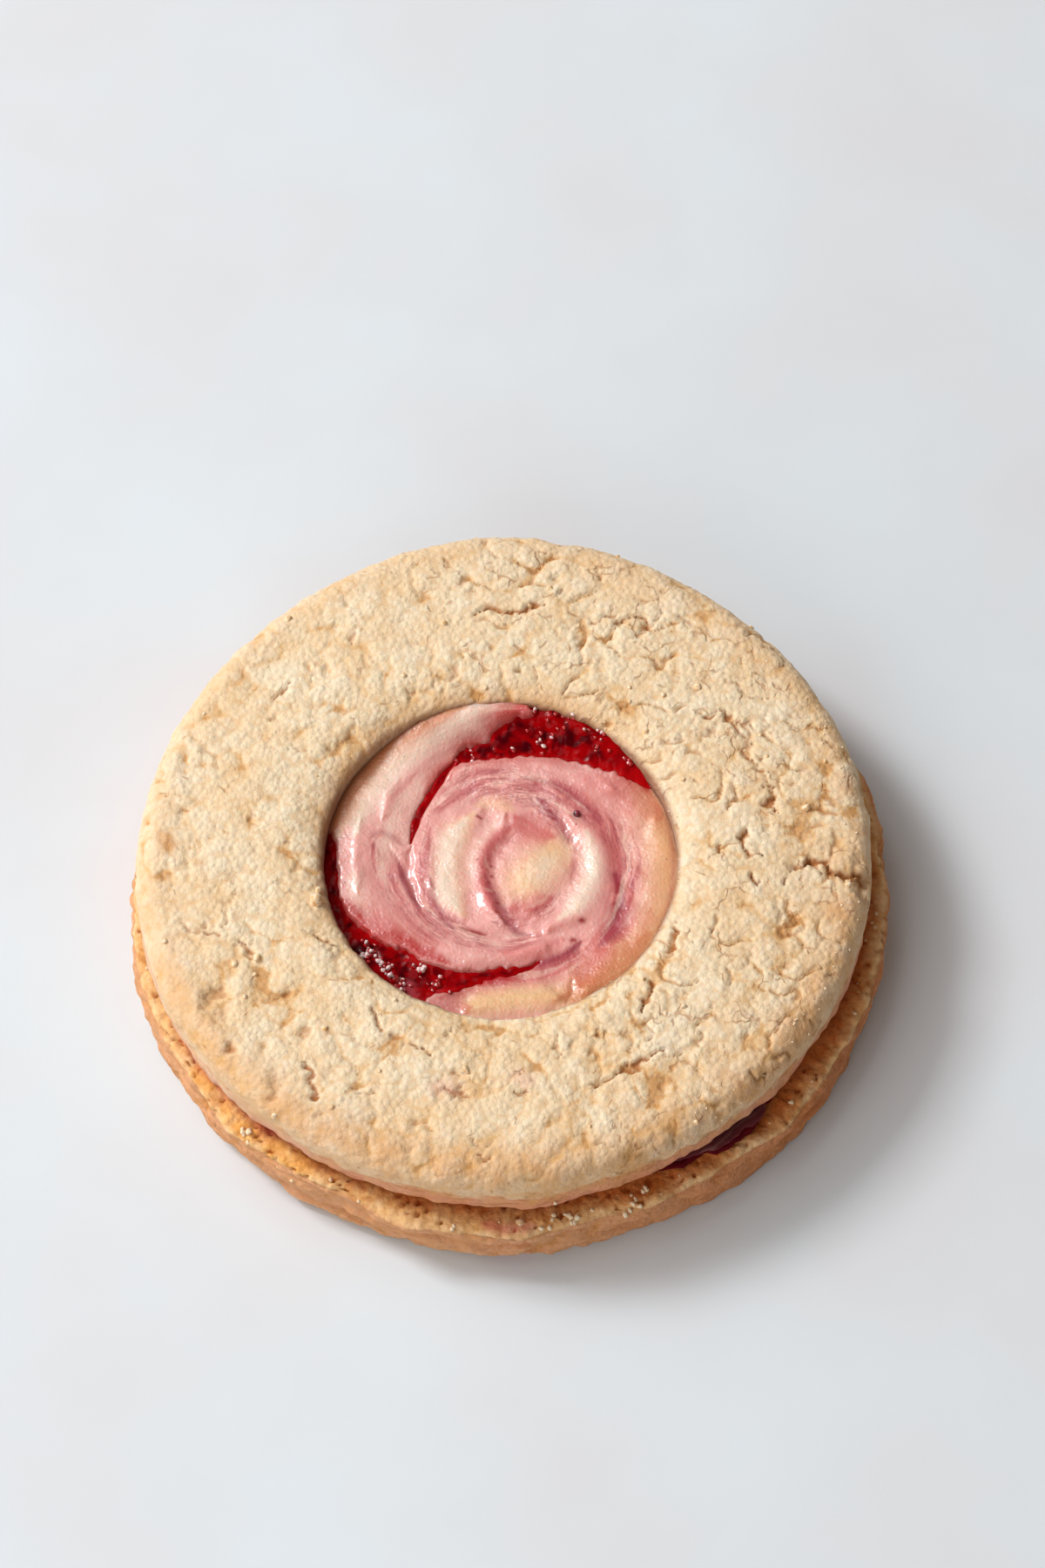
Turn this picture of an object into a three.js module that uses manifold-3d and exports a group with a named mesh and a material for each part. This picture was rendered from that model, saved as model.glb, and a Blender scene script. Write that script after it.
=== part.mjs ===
// A linzer cookie: two shortbread biscuits with berry jam and a swirl of cream between them. The upper
// biscuit has a round window, which the swirl fills. Jam is spread over the lower biscuit and stands up
// through the cream in two curved wells, so both fillings show in the window and both show at the side.
// Millimetres, +Z up. The origin is on the surface that the cookie lies on, under the middle of the upper
// biscuit.
import * as THREE from "three";
import { mergeVertices } from "three/addons/utils/BufferGeometryUtils.js";
import Module from "manifold-3d";

const { degToRad, lerp, smoothstep } = THREE.MathUtils;
const wasm = await Module();
wasm.setup();

// Driving sizes
const LID_RADIUS = 34.7; // the upper biscuit, cut with a 70 mm cutter
const LID_THICKNESS = 6.0;
const WINDOW_RADIUS = 16.75; // cut with a 33 mm cutter
const WINDOW_CENTRE = new THREE.Vector2(0, -0.6);
const BASE_RADIUS = 36.0; // the lower biscuit spread in the oven, and lies with its wide side up
const BASE_THICKNESS = 5.8;
const BASE_CENTRE = new THREE.Vector2(0.8, -0.3);
const GAP_DEPTH = 1.3; // filling between the biscuits

// Edges and faces of the biscuits
const LID_SHOULDER = 2.3; // rounding of the upper outer edge
const LID_FOOT = 0.7; // rounding of the lower outer edge
const WINDOW_LIP = 0.9; // rounding of the window's upper edge
const BASE_SHOULDER = 0.7;
const BASE_FOOT = 1.2;
const CROWN = 0.35; // how far the baked face falls from its middle to its shoulder

// Filling
const FILLING_RADIUS = 33.5;
const FILLING_CENTRE = new THREE.Vector2(0.4, -0.2);
const FILLING_BULGE = 0.3; // how far each layer bulges out between the biscuits
const JAM_DEPTH = 0.6; // the jam layer's mean thickness
const JAM_LEAN = 0.011; // the layer is thicker towards JAM_SIDE, by this rise per millimetre
const JAM_SIDE = degToRad(-35);
const SKIN_GAP = 0.1; // free space between jam and cream, and between the filling and the window's wall
const CREAM_LEVEL = 3.0; // cream in the window, above the upper biscuit's underside
const JAM_LEVEL = 2.9; // jam in the wells, above the same face
const WELL_ROUNDING = 0.25; // a well's upper edge

// Swirl: a ridge that winds in towards its centre, closer at each turn
const SWIRL_CENTRE = new THREE.Vector2(0.6, 0.2);
const SWIRL_RADIUS = 8.0; // the ridge's distance from the centre, on the +X side
const SWIRL_GROWTH = 0.15; // how fast that distance shrinks, counter-clockwise, per radian
const SWIRL_EYE = 4.6; // within this distance the ridge melts into the peak
const RIDGE_HEIGHT = 0.85;
const RIDGE_MARGIN = 2.6; // the ridge falls away over this distance from the window's wall
const PEAK_HEIGHT = 0.9; // where the knife was lifted
const PEAK_RADIUS = 2.6;

// Fineness
const TURN_STEPS = 96;
const SHOULDER_STEPS = 4;
const FOOT_STEPS = 2;
const FACE_RINGS = 4;
const SWIRL_RINGS = 12;
const WELL_STEPS = 40;
const WELL_ROUNDING_STEPS = 2;

// Levels
const GAP_Z = BASE_THICKNESS;
const LID_Z = GAP_Z + GAP_DEPTH;
const TOP_Z = LID_Z + LID_THICKNESS;
const JAM_Z = GAP_Z + JAM_DEPTH;

// A rim is a circle with a few shallow lobes: count round the circle, depth, and the angle of the first.
const LID_LOBES = [
  { count: 1, depth: 0.5, at: 42 },
  { count: 2, depth: 0.3, at: 54 },
  { count: 3, depth: 0.12, at: -22 },
  { count: 4, depth: 0.22, at: 3 },
  { count: 6, depth: 0.09, at: 28 },
];
const WINDOW_LOBES = [
  { count: 3, depth: 0.12, at: 23 },
  { count: 5, depth: 0.08, at: -11 },
];
const BASE_LOBES = [
  { count: 2, depth: 0.1, at: 14 },
  { count: 3, depth: 0.1, at: 7 },
  { count: 6, depth: 0.18, at: 25 },
  { count: 9, depth: 0.12, at: -10 },
];
const FILLING_LOBES = [
  { count: 2, depth: 0.2, at: -30 },
  { count: 5, depth: 0.25, at: 10 },
  { count: 7, depth: 0.15, at: 40 },
];

// A baked face rises and sinks a little, as a sum of long waves of this height and these wave numbers.
const FACE_WAVES = [
  { height: 0.07, alongX: 0.23, alongY: 0.11, phase: 0.9 },
  { height: 0.05, alongX: 0.41, alongY: -0.33, phase: 0 },
  { height: 0.04, alongX: 0.29, alongY: 0.57, phase: 2.9 },
];

// The wells in plan, counter-clockwise. Each is a smooth closed curve, cut off where it runs out past the
// window's wall.
const UPPER_WELL = [
  [-4.7, 10.2],
  [-2.4, 10.8],
  [1.0, 11.2],
  [5.0, 11.1],
  [9.5, 10.2],
  [13.8, 8.1],
  [17.2, 7.4],
  [15.6, 12.4],
  [9.6, 16.8],
  [4.2, 17.4],
  [3.2, 15.0],
  [0.6, 14.6],
  [-1.6, 12.9],
  [-3.8, 11.6],
];
const LOWER_WELL = [
  [-18.6, -3.0],
  [-17.0, -8.6],
  [-13.0, -13.8],
  [-8.0, -17.4],
  [-6.6, -15.2],
  [-4.2, -13.4],
  [-0.6, -12.2],
  [3.7, -11.0],
  [7.1, -8.8],
  [6.6, -8.3],
  [3.6, -10.2],
  [0.0, -11.1],
  [-4.0, -11.2],
  [-8.5, -10.0],
  [-12.4, -7.9],
  [-14.6, -5.2],
  [-15.1, -1.5],
  [-15.5, 2.4],
  [-18.0, 2.8],
];

function lobed(lobes, angle) {
  return lobes.reduce(
    (sum, lobe) => sum + lobe.depth * Math.cos(lobe.count * (angle - degToRad(lobe.at))),
    0,
  );
}

function waved(x, y) {
  return FACE_WAVES.reduce(
    (sum, wave) => sum + wave.height * Math.sin(wave.alongX * x + wave.alongY * y + wave.phase),
    0,
  );
}

// The plane where the jam layer ends and the cream begins.
function jamTop(x, y) {
  return JAM_Z + JAM_LEAN * (x * Math.cos(JAM_SIDE) + y * Math.sin(JAM_SIDE));
}

// A quarter circle in a profile, counter-clockwise from an angle in degrees, with both its ends.
function quarter(centreX, centreZ, radius, from, steps) {
  return Array.from({ length: steps + 1 }, (_, i) => {
    const angle = degToRad(from + (90 * i) / steps);
    return new THREE.Vector2(centreX + radius * Math.cos(angle), centreZ + radius * Math.sin(angle));
  });
}

// A solid turned about +Z from a profile of radius and height, with each vertex then moved by shape.
function turned(profile, shape) {
  const geometry = new THREE.LatheGeometry(profile, TURN_STEPS);
  geometry.rotateX(Math.PI / 2);
  const position = geometry.getAttribute("position");
  const point = new THREE.Vector3();
  for (let i = 0; i < position.count; i++) {
    point.fromBufferAttribute(position, i);
    shape(point);
    position.setXYZ(i, point.x, point.y, point.z);
  }
  return geometry;
}

// Spreads a round form so that its rim, at a given radius, follows the lobes about a centre.
function spread(point, lobes, rim, centre) {
  const radius = Math.hypot(point.x, point.y);
  const stretch = 1 + (lobed(lobes, Math.atan2(point.y, point.x)) * radius) / rim ** 2;
  point.x = point.x * stretch + centre.x;
  point.y = point.y * stretch + centre.y;
}

function solidOf(geometry) {
  const bare = geometry.clone();
  bare.deleteAttribute("normal");
  bare.deleteAttribute("uv");
  const merged = mergeVertices(bare);
  return new wasm.Manifold(
    new wasm.Mesh({
      numProp: 3,
      vertProperties: merged.getAttribute("position").array,
      triVerts: new Uint32Array(merged.index.array),
    }),
  );
}

function geometryOf(solid) {
  const mesh = solid.getMesh();
  const geometry = new THREE.BufferGeometry();
  geometry.setAttribute("position", new THREE.BufferAttribute(mesh.vertProperties, 3));
  geometry.setIndex(new THREE.BufferAttribute(mesh.triVerts, 1));
  geometry.computeVertexNormals();
  return geometry;
}

function bottomBiscuit() {
  const shoulder = BASE_RADIUS - BASE_SHOULDER;
  const foot = BASE_RADIUS - BASE_FOOT;
  const profile = [
    new THREE.Vector2(0, 0),
    ...quarter(foot, BASE_FOOT, BASE_FOOT, -90, SHOULDER_STEPS),
    ...quarter(shoulder, BASE_THICKNESS - BASE_SHOULDER, BASE_SHOULDER, 0, SHOULDER_STEPS),
    new THREE.Vector2(0, BASE_THICKNESS),
  ];
  return turned(profile, (point) => spread(point, BASE_LOBES, BASE_RADIUS, BASE_CENTRE));
}

// The upper biscuit is a ring: its inner wall follows the window, and its rim follows the cutter.
function topBiscuit() {
  const lip = WINDOW_RADIUS + WINDOW_LIP;
  const shoulder = LID_RADIUS - LID_SHOULDER;
  const face = Array.from(
    { length: FACE_RINGS },
    (_, i) => new THREE.Vector2(lerp(shoulder, lip, (i + 1) / (FACE_RINGS + 1)), TOP_Z),
  );
  const profile = [
    new THREE.Vector2(WINDOW_RADIUS, LID_Z),
    ...quarter(LID_RADIUS - LID_FOOT, LID_Z + LID_FOOT, LID_FOOT, -90, FOOT_STEPS),
    ...quarter(shoulder, TOP_Z - LID_SHOULDER, LID_SHOULDER, 0, SHOULDER_STEPS),
    ...face,
    ...quarter(lip, TOP_Z - WINDOW_LIP, WINDOW_LIP, 90, FOOT_STEPS),
    new THREE.Vector2(WINDOW_RADIUS, LID_Z),
  ];
  return turned(profile, (point) => {
    const radius = Math.hypot(point.x, point.y);
    const angle = Math.atan2(point.y, point.x);
    const outwards = smoothstep(radius, WINDOW_RADIUS, LID_RADIUS);
    const moved = radius + lerp(lobed(WINDOW_LOBES, angle), lobed(LID_LOBES, angle), outwards);
    point.x = moved * Math.cos(angle) + (1 - outwards) * WINDOW_CENTRE.x;
    point.y = moved * Math.sin(angle) + (1 - outwards) * WINDOW_CENTRE.y;
    const height = (point.z - LID_Z) / LID_THICKNESS;
    point.z += height * (waved(point.x, point.y) - CROWN * outwards ** 3);
  });
}

// One layer of filling between two planes, with a rim that bulges at half its height.
function layer(bottom, top) {
  const profile = [
    new THREE.Vector2(0, 0),
    new THREE.Vector2(FILLING_RADIUS, 0),
    new THREE.Vector2(FILLING_RADIUS + FILLING_BULGE, 0.5),
    new THREE.Vector2(FILLING_RADIUS, 1),
    new THREE.Vector2(0, 1),
  ];
  const geometry = turned(profile, (point) => {
    spread(point, FILLING_LOBES, FILLING_RADIUS, FILLING_CENTRE);
    point.z = lerp(bottom(point.x, point.y), top(point.x, point.y), point.z);
  });
  return solidOf(geometry);
}

// Height of the swirl above the cream's level.
function swirl(x, y) {
  const dx = x - SWIRL_CENTRE.x;
  const dy = y - SWIRL_CENTRE.y;
  const radius = Math.max(Math.hypot(dx, dy), 1e-3);
  const winding = Math.atan2(dy, dx) + Math.log(radius / SWIRL_RADIUS) / SWIRL_GROWTH;
  const wall = WINDOW_RADIUS - Math.hypot(x - WINDOW_CENTRE.x, y - WINDOW_CENTRE.y);
  const fade = smoothstep(wall, 0, RIDGE_MARGIN) * smoothstep(radius, SWIRL_EYE / 2, SWIRL_EYE);
  const ridge = 0.5 + 0.5 * Math.cos(winding);
  const peak = Math.exp(-((radius / PEAK_RADIUS) ** 2));
  return RIDGE_HEIGHT * ridge * fade + PEAK_HEIGHT * peak;
}

// A column that fits the window, from inside the cream layer up to the cream's level, with the swirl on it.
function windowColumn() {
  const rim = WINDOW_RADIUS - SKIN_GAP;
  const level = LID_Z + CREAM_LEVEL;
  const bottom = LID_Z - GAP_DEPTH / 4;
  const rings = Array.from(
    { length: SWIRL_RINGS },
    (_, i) => new THREE.Vector2(rim * (1 - i / SWIRL_RINGS), level),
  );
  const profile = [
    new THREE.Vector2(0, bottom),
    new THREE.Vector2(rim, bottom),
    ...rings,
    new THREE.Vector2(0, level),
  ];
  const geometry = turned(profile, (point) => {
    spread(point, WINDOW_LOBES, rim, WINDOW_CENTRE);
    if (point.z > LID_Z) point.z += swirl(point.x, point.y);
  });
  return solidOf(geometry);
}

// A plain column of the window's outline, which cuts the wells off at the window's wall.
function windowCutter(radius) {
  const profile = [
    new THREE.Vector2(0, 0),
    new THREE.Vector2(radius, 0),
    new THREE.Vector2(radius, TOP_Z),
    new THREE.Vector2(0, TOP_Z),
  ];
  return solidOf(turned(profile, (point) => spread(point, WINDOW_LOBES, radius, WINDOW_CENTRE)));
}

// A well's outline, moved outwards by a clearance.
function wellShape(outline, clearance) {
  const knots = outline.map(([x, y]) => new THREE.Vector3(x, y, 0));
  const points = new THREE.CatmullRomCurve3(knots, true).getSpacedPoints(WELL_STEPS).slice(0, -1);
  const corners = points.map((point, i) => {
    const ahead = points[(i + 1) % points.length];
    const behind = points.at(i - 1);
    const along = new THREE.Vector2(ahead.x - behind.x, ahead.y - behind.y).normalize();
    return new THREE.Vector2(point.x + along.y * clearance, point.y - along.x * clearance);
  });
  return new THREE.Shape(corners);
}

// The jam that stands in a well, rounded at its upper edge.
function wellJam(outline) {
  const bottom = GAP_Z + WELL_ROUNDING;
  const geometry = new THREE.ExtrudeGeometry(wellShape(outline, 0), {
    depth: LID_Z + JAM_LEVEL - WELL_ROUNDING - bottom,
    bevelThickness: WELL_ROUNDING,
    bevelSize: WELL_ROUNDING,
    bevelOffset: -WELL_ROUNDING,
    bevelSegments: WELL_ROUNDING_STEPS,
  });
  geometry.translate(0, 0, bottom);
  return solidOf(geometry).intersect(windowCutter(WINDOW_RADIUS - SKIN_GAP));
}

// The space that a well takes out of the cream.
function wellSpace(outline) {
  const shape = wellShape(outline, SKIN_GAP);
  const geometry = new THREE.ExtrudeGeometry(shape, { depth: TOP_Z, bevelEnabled: false });
  return solidOf(geometry).intersect(windowCutter(WINDOW_RADIUS));
}

function jam() {
  const risers = [UPPER_WELL, LOWER_WELL].map(wellJam);
  const whole = layer(() => GAP_Z, jamTop);
  return geometryOf(risers.reduce((solid, riser) => solid.add(riser), whole));
}

function cream() {
  const spreadCream = layer((x, y) => jamTop(x, y) + SKIN_GAP, () => LID_Z);
  const spaces = [UPPER_WELL, LOWER_WELL].map(wellSpace);
  const whole = spreadCream.add(windowColumn());
  return geometryOf(spaces.reduce((solid, space) => solid.subtract(space), whole));
}

const finishes = {
  toastedShortbread: { color: 0xcf9f66, roughness: 0.85, metalness: 0 },
  paleShortbread: { color: 0xe6cda4, roughness: 0.85, metalness: 0 },
  berryJam: { color: 0x7d0a1c, roughness: 0.15, metalness: 0 },
  berryCream: { color: 0xe3a9a0, roughness: 0.35, metalness: 0 },
};

function piece(name, geometry, finish) {
  const mesh = new THREE.Mesh(geometry, new THREE.MeshStandardMaterial(finish));
  mesh.name = name;
  return mesh;
}

const cookie = new THREE.Group();
cookie.add(
  piece("bottom_biscuit", bottomBiscuit(), finishes.toastedShortbread),
  piece("jam", jam(), finishes.berryJam),
  piece("cream", cream(), finishes.berryCream),
  piece("top_biscuit", topBiscuit(), finishes.paleShortbread),
);

export default cookie;
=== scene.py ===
"""A linzer cookie: two crumbly shortbread biscuits with berry jam and swirled berry cream between them.

The upper biscuit has a round window. Lengths in this script are millimetres, in the frame's own axes, and a
mesh becomes metres as it is finished.
"""

import logging
import math
import random
from dataclasses import dataclass, field
from enum import Enum
from typing import Callable, Iterable, Sequence

import bmesh
import bpy
import numpy as np
from mathutils import Matrix, Vector, noise
from mathutils.bvhtree import BVHTree

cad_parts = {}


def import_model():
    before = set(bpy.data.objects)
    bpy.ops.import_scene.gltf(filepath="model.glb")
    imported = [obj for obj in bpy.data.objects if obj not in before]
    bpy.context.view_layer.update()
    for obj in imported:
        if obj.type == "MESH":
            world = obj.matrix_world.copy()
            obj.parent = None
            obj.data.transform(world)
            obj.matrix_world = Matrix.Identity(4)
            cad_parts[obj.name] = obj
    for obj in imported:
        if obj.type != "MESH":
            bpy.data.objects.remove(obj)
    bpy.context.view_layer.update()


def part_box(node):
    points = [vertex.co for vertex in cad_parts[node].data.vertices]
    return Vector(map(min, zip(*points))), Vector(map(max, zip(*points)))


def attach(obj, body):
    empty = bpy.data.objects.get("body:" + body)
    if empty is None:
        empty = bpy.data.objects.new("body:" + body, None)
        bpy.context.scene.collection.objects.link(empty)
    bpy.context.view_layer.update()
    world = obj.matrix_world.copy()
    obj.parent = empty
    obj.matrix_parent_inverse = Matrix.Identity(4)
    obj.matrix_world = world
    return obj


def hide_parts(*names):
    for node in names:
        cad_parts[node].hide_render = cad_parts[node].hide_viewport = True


LOG = logging.getLogger("linzer")
MM = 0.001
WINDOW_RADIUS = 16.75
WINDOW_CENTRE = (0.0, -0.6)
SWIRL_CENTRE = (0.6, 0.2)
TURNS = 720  # steps round each biscuit and layer, a multiple of 16
SEED_STEP = np.array([13.7, -7.1, 4.9])  # how far a noise moves from one seed to the next
STROKE_REACH = 2.4  # beyond this many widths a stroke counts for nothing
STROKE_TAPER = 0.25  # a stroke's ends narrow over this share of its length, to this share of its width
TINY = 1e-9
WELL_ABOVE = 0.05  # a height over the cookie, in metres

Point = tuple[float, float]
Corners = tuple[Point, ...]
Triple = tuple[float, float, float]
Numbers = np.ndarray
Form = bmesh.types.BMesh
Material = bpy.types.Material
Socket = bpy.types.NodeSocket
Thing = bpy.types.Object


# ---- Small mathematics ----


def ease(value: Numbers, low: float, high: float) -> Numbers:
    """Rises smoothly from 0 at low to 1 at high."""
    share = np.clip((value - low) / (high - low), 0.0, 1.0)
    return share * share * (3.0 - 2.0 * share)


def sampled(points: Numbers, size: float, seed: int, read: Callable[[Vector], float]) -> Numbers:
    """Reads a noise at points.

    Args:
        points: places in millimetres, one row each.
        size: how large a feature of the noise is.
        seed: moves the noise, so that two layers differ.
        read: the noise at one place.

    Returns:
        One number for each point.
    """
    moved = points / size + SEED_STEP * seed
    return np.array([read(place) for place in moved.tolist()])


def waves(points: Numbers, size: float, seed: int = 1, octaves: int = 1) -> Numbers:
    """Soft noise around 0, mostly between -1 and 1."""
    return 1.6 * sampled(points, size, seed, lambda place: noise.fractal(place, 1.0, 2.0, octaves))


def pebbles(points: Numbers, size: float, seed: int = 1) -> Numbers:
    """Rounded lumps of about a size: 1 on a lump's top, and 0 in the creases between lumps."""
    near = sampled(points, size, seed, lambda place: noise.voronoi(place)[0][0])
    return 1.0 - np.clip(near / 0.85, 0.0, 1.0) ** 2


def billows(points: Numbers, size: float, seed: int = 1, octaves: int = 2) -> Numbers:
    """Puffy clumps of about a size: 0 in the creases between clumps, and around 0.3 on most of a clump."""
    return sampled(points, size, seed, lambda place: noise.turbulence(place, octaves, True))


def puffed(billow: Numbers) -> Numbers:
    """Turns a billowy noise into heights that stand steep at the creases and are round on top, around 0."""
    return np.sqrt(billow + 0.01) - 0.47


def levelled(plan: Numbers) -> Numbers:
    """Places in plan as points at height 0."""
    return np.column_stack([plan, np.zeros(len(plan))])


def polar(places: Numbers) -> tuple[Numbers, Numbers]:
    """The distance of each place from the axis, and its bearing in radians."""
    return np.hypot(places[:, 0], places[:, 1]), np.arctan2(places[:, 1], places[:, 0])


def from_window(places: Numbers) -> Numbers:
    """How far each place is from the middle of the window, in plan."""
    return np.hypot(places[:, 0] - WINDOW_CENTRE[0], places[:, 1] - WINDOW_CENTRE[1])


def warped(places: Numbers, size: float, amount: float, seed: int = 1) -> Numbers:
    """Places moved about by a soft noise, so that what is drawn there gets a ragged outline.

    Args:
        places: points, or places in plan, one row each.
        size: how large a feature of the noise is.
        amount: how far it moves them.
        seed: moves the noise.

    Returns:
        The moved places.
    """
    axes = places.shape[1]
    points = places if axes == 3 else levelled(places)
    return places + amount * np.stack([waves(points, size, seed + i, 2) for i in range(axes)], axis=-1)


def flowing(path: Sequence[Point], steps: int = 6) -> Numbers:
    """A smooth line through corners.

    Args:
        path: the corners.
        steps: how many pieces each stretch gets.

    Returns:
        The line's points, one row each.
    """
    knots = np.array([path[0], *path, path[-1]], float)
    share = np.linspace(0.0, 1.0, steps, endpoint=False)[:, None]
    runs = []
    for a, b, c, d in zip(knots, knots[1:], knots[2:], knots[3:]):
        linear = (c - a) * share
        square = (2.0 * a - 5.0 * b + 4.0 * c - d) * share**2
        cube = (3.0 * (b - c) + d - a) * share**3
        runs.append(b + 0.5 * (linear + square + cube))
    return np.concatenate([*runs, knots[-1:]])


def around(chance: random.Random, inner: float, outer: float, start: float = 0, end: float = 360) -> Point:
    """A chance place in a ring.

    Args:
        chance: where its chances come from.
        inner: the ring's inner radius.
        outer: the ring's outer radius.
        start: the bearing that the ring starts at, in degrees.
        end: the bearing that it ends at.

    Returns:
        The place.
    """
    bearing = math.radians(chance.uniform(start, end))
    distance = math.sqrt(chance.uniform(inner**2, outer**2))
    return distance * math.cos(bearing), distance * math.sin(bearing)


@dataclass(frozen=True)
class Lobe:
    """A shallow lobe of a rim: how many go round, how deep they are, and the first one's angle in degrees."""

    count: int
    depth: float
    at: float


@dataclass(frozen=True)
class Bump:
    """One bump of a rim: its angle and half its width in degrees, and its height, below 0 for a dent."""

    at: float
    width: float
    height: float


def bumped(bumps: Iterable[Bump], angle: Numbers) -> Numbers:
    """How far a rim's bumps reach out.

    Args:
        bumps: the bumps.
        angle: the bearing of each place, in radians.

    Returns:
        The reach at each place.
    """
    reach = np.zeros(len(angle))
    for bump in bumps:
        away = (np.degrees(angle) - bump.at + 180.0) % 360.0 - 180.0
        reach = reach + bump.height * np.exp(-((away / bump.width) ** 2))
    return reach


def lobed(lobes: Iterable[Lobe], angle: Numbers) -> Numbers:
    """How far a rim's lobes reach out at each angle."""
    return sum(lobe.depth * np.cos(lobe.count * (angle - math.radians(lobe.at))) for lobe in lobes)


def nearness(start: Numbers, end: Numbers, places: Numbers) -> tuple[Numbers, Numbers, Numbers]:
    """Measures places against a straight stretch of a line.

    Args:
        start: where the stretch starts.
        end: where it ends.
        places: the places, one row each.

    Returns:
        How far each place is from the stretch, how far along the stretch it lies, as a share, and a number
        that is above 0 to the left of the stretch and below 0 to its right.
    """
    along = end - start
    offset = places - start
    share = np.clip(offset @ along / max(float(along @ along), TINY), 0.0, 1.0)
    side = along[0] * offset[:, 1] - along[1] * offset[:, 0]
    return np.linalg.norm(offset - share[:, None] * along, axis=1), share, side


@dataclass(frozen=True)
class Stroke:
    """A soft line in plan.

    Attributes:
        path: the corners that it flows through.
        width: how far it reaches to each side.
        amount: how strong it is along its middle.
        lee: how far it reaches to its right hand side, if that differs.
        blunt: True where it keeps its strength up to its ends.
    """

    path: Corners
    width: float
    amount: float = 1.0
    lee: float = 0.0
    blunt: bool = False

    def strength(self, plan: Numbers) -> Numbers:
        """The stroke's strength at places in plan.

        Args:
            plan: places, one row each.

        Returns:
            One number for each place, at most the stroke's amount.
        """
        line = flowing(self.path)
        reach = STROKE_REACH * max(self.width, self.lee)
        near = np.all((plan > line.min(0) - reach) & (plan < line.max(0) + reach), axis=1)
        result = np.zeros(len(plan))
        if not near.any():
            return result
        places = plan[near]
        best = np.full(len(places), np.inf)
        share = np.zeros(len(places))
        side = np.zeros(len(places))
        for i, (start, end) in enumerate(zip(line, line[1:])):
            distance, along, left = nearness(start, end, places)
            closer = distance < best
            best[closer] = distance[closer]
            share[closer] = (i + along[closer]) / (len(line) - 1)
            side[closer] = left[closer]
        width = np.where(side < 0.0, self.lee or self.width, self.width)
        if not self.blunt:
            to_end = np.minimum(share, 1.0 - share)
            width = width * (STROKE_TAPER + (1.0 - STROKE_TAPER) * ease(to_end, 0.0, STROKE_TAPER))
        result[near] = self.amount * np.exp(-((best / width) ** 2))
        return result


def total(plan: Numbers, strokes: Iterable[Stroke]) -> Numbers:
    """All strokes added up, at places in plan."""
    return sum((stroke.strength(plan) for stroke in strokes), np.zeros(len(plan)))


def strongest(plan: Numbers, strokes: Iterable[Stroke]) -> Numbers:
    """Strokes laid over each other.

    Args:
        plan: places, one row each.
        strokes: the strokes.

    Returns:
        The strongest stroke at each place.
    """
    result = np.zeros(len(plan))
    for stroke in strokes:
        result = np.maximum(result, stroke.strength(plan))
    return result


@dataclass(frozen=True)
class Pool:
    """A closed outline in plan, through these corners."""

    outline: Corners

    def inside(self, plan: Numbers) -> Numbers:
        """How far each place lies inside the outline, and less than 0 outside it.

        Args:
            plan: places, one row each.

        Returns:
            One distance for each place.
        """
        line = flowing([*self.outline, self.outline[0]], 4)
        nearest = np.full(len(plan), np.inf)
        within = np.zeros(len(plan), bool)
        for start, end in zip(line, line[1:]):
            nearest = np.minimum(nearest, nearness(start, end, plan)[0])
            crosses = (start[1] > plan[:, 1]) != (end[1] > plan[:, 1])
            along = end - start
            slope = along[0] / (along[1] if abs(along[1]) > TINY else TINY)
            within ^= crosses & (plan[:, 0] < start[0] + slope * (plan[:, 1] - start[1]))
        return np.where(within, nearest, -nearest)


# ---- Colours and finishes ----


class Tone(Enum):
    """Colours of the bake and its fillings, as red, green and blue from 0 to 255."""

    FLOUR = (254, 240, 217)
    PALE_CRUMB = (250, 231, 200)
    STRAW = (244, 211, 167)
    GOLDEN = (228, 174, 104)
    TOASTED = (212, 144, 72)
    CRACK = (176, 102, 34)
    YOLK = (246, 182, 98)
    BROWNED = (126, 52, 12)
    SCORCHED = (196, 98, 30)
    WALL = (220, 124, 76)
    SIDE = (215, 141, 94)
    JAM = (160, 0, 5)
    JAM_THIN = (182, 6, 12)
    JAM_DARK = (62, 0, 8)
    PINK = (244, 180, 172)
    ROSE = (214, 100, 100)
    RED = (190, 28, 26)
    MAUVE = (158, 38, 66)
    CUSTARD = (244, 200, 152)
    IVORY = (250, 224, 204)
    TAN = (214, 132, 84)
    PURPLE = (84, 12, 22)
    CLOUD = (184, 74, 84)
    SEED = (44, 30, 34)
    # painted glints, partly foam: the pale specks on the jam
    FOAM_AND_GLINT = (240, 206, 214)
    SUGAR = (255, 230, 214)
    PAPER = (225, 233, 239)

    @property
    def light(self) -> Triple:
        """The tone as linear light."""
        shares = [part / 255.0 for part in self.value]
        return tuple(s / 12.92 if s <= 0.04045 else ((s + 0.055) / 1.055) ** 2.4 for s in shares)


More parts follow.
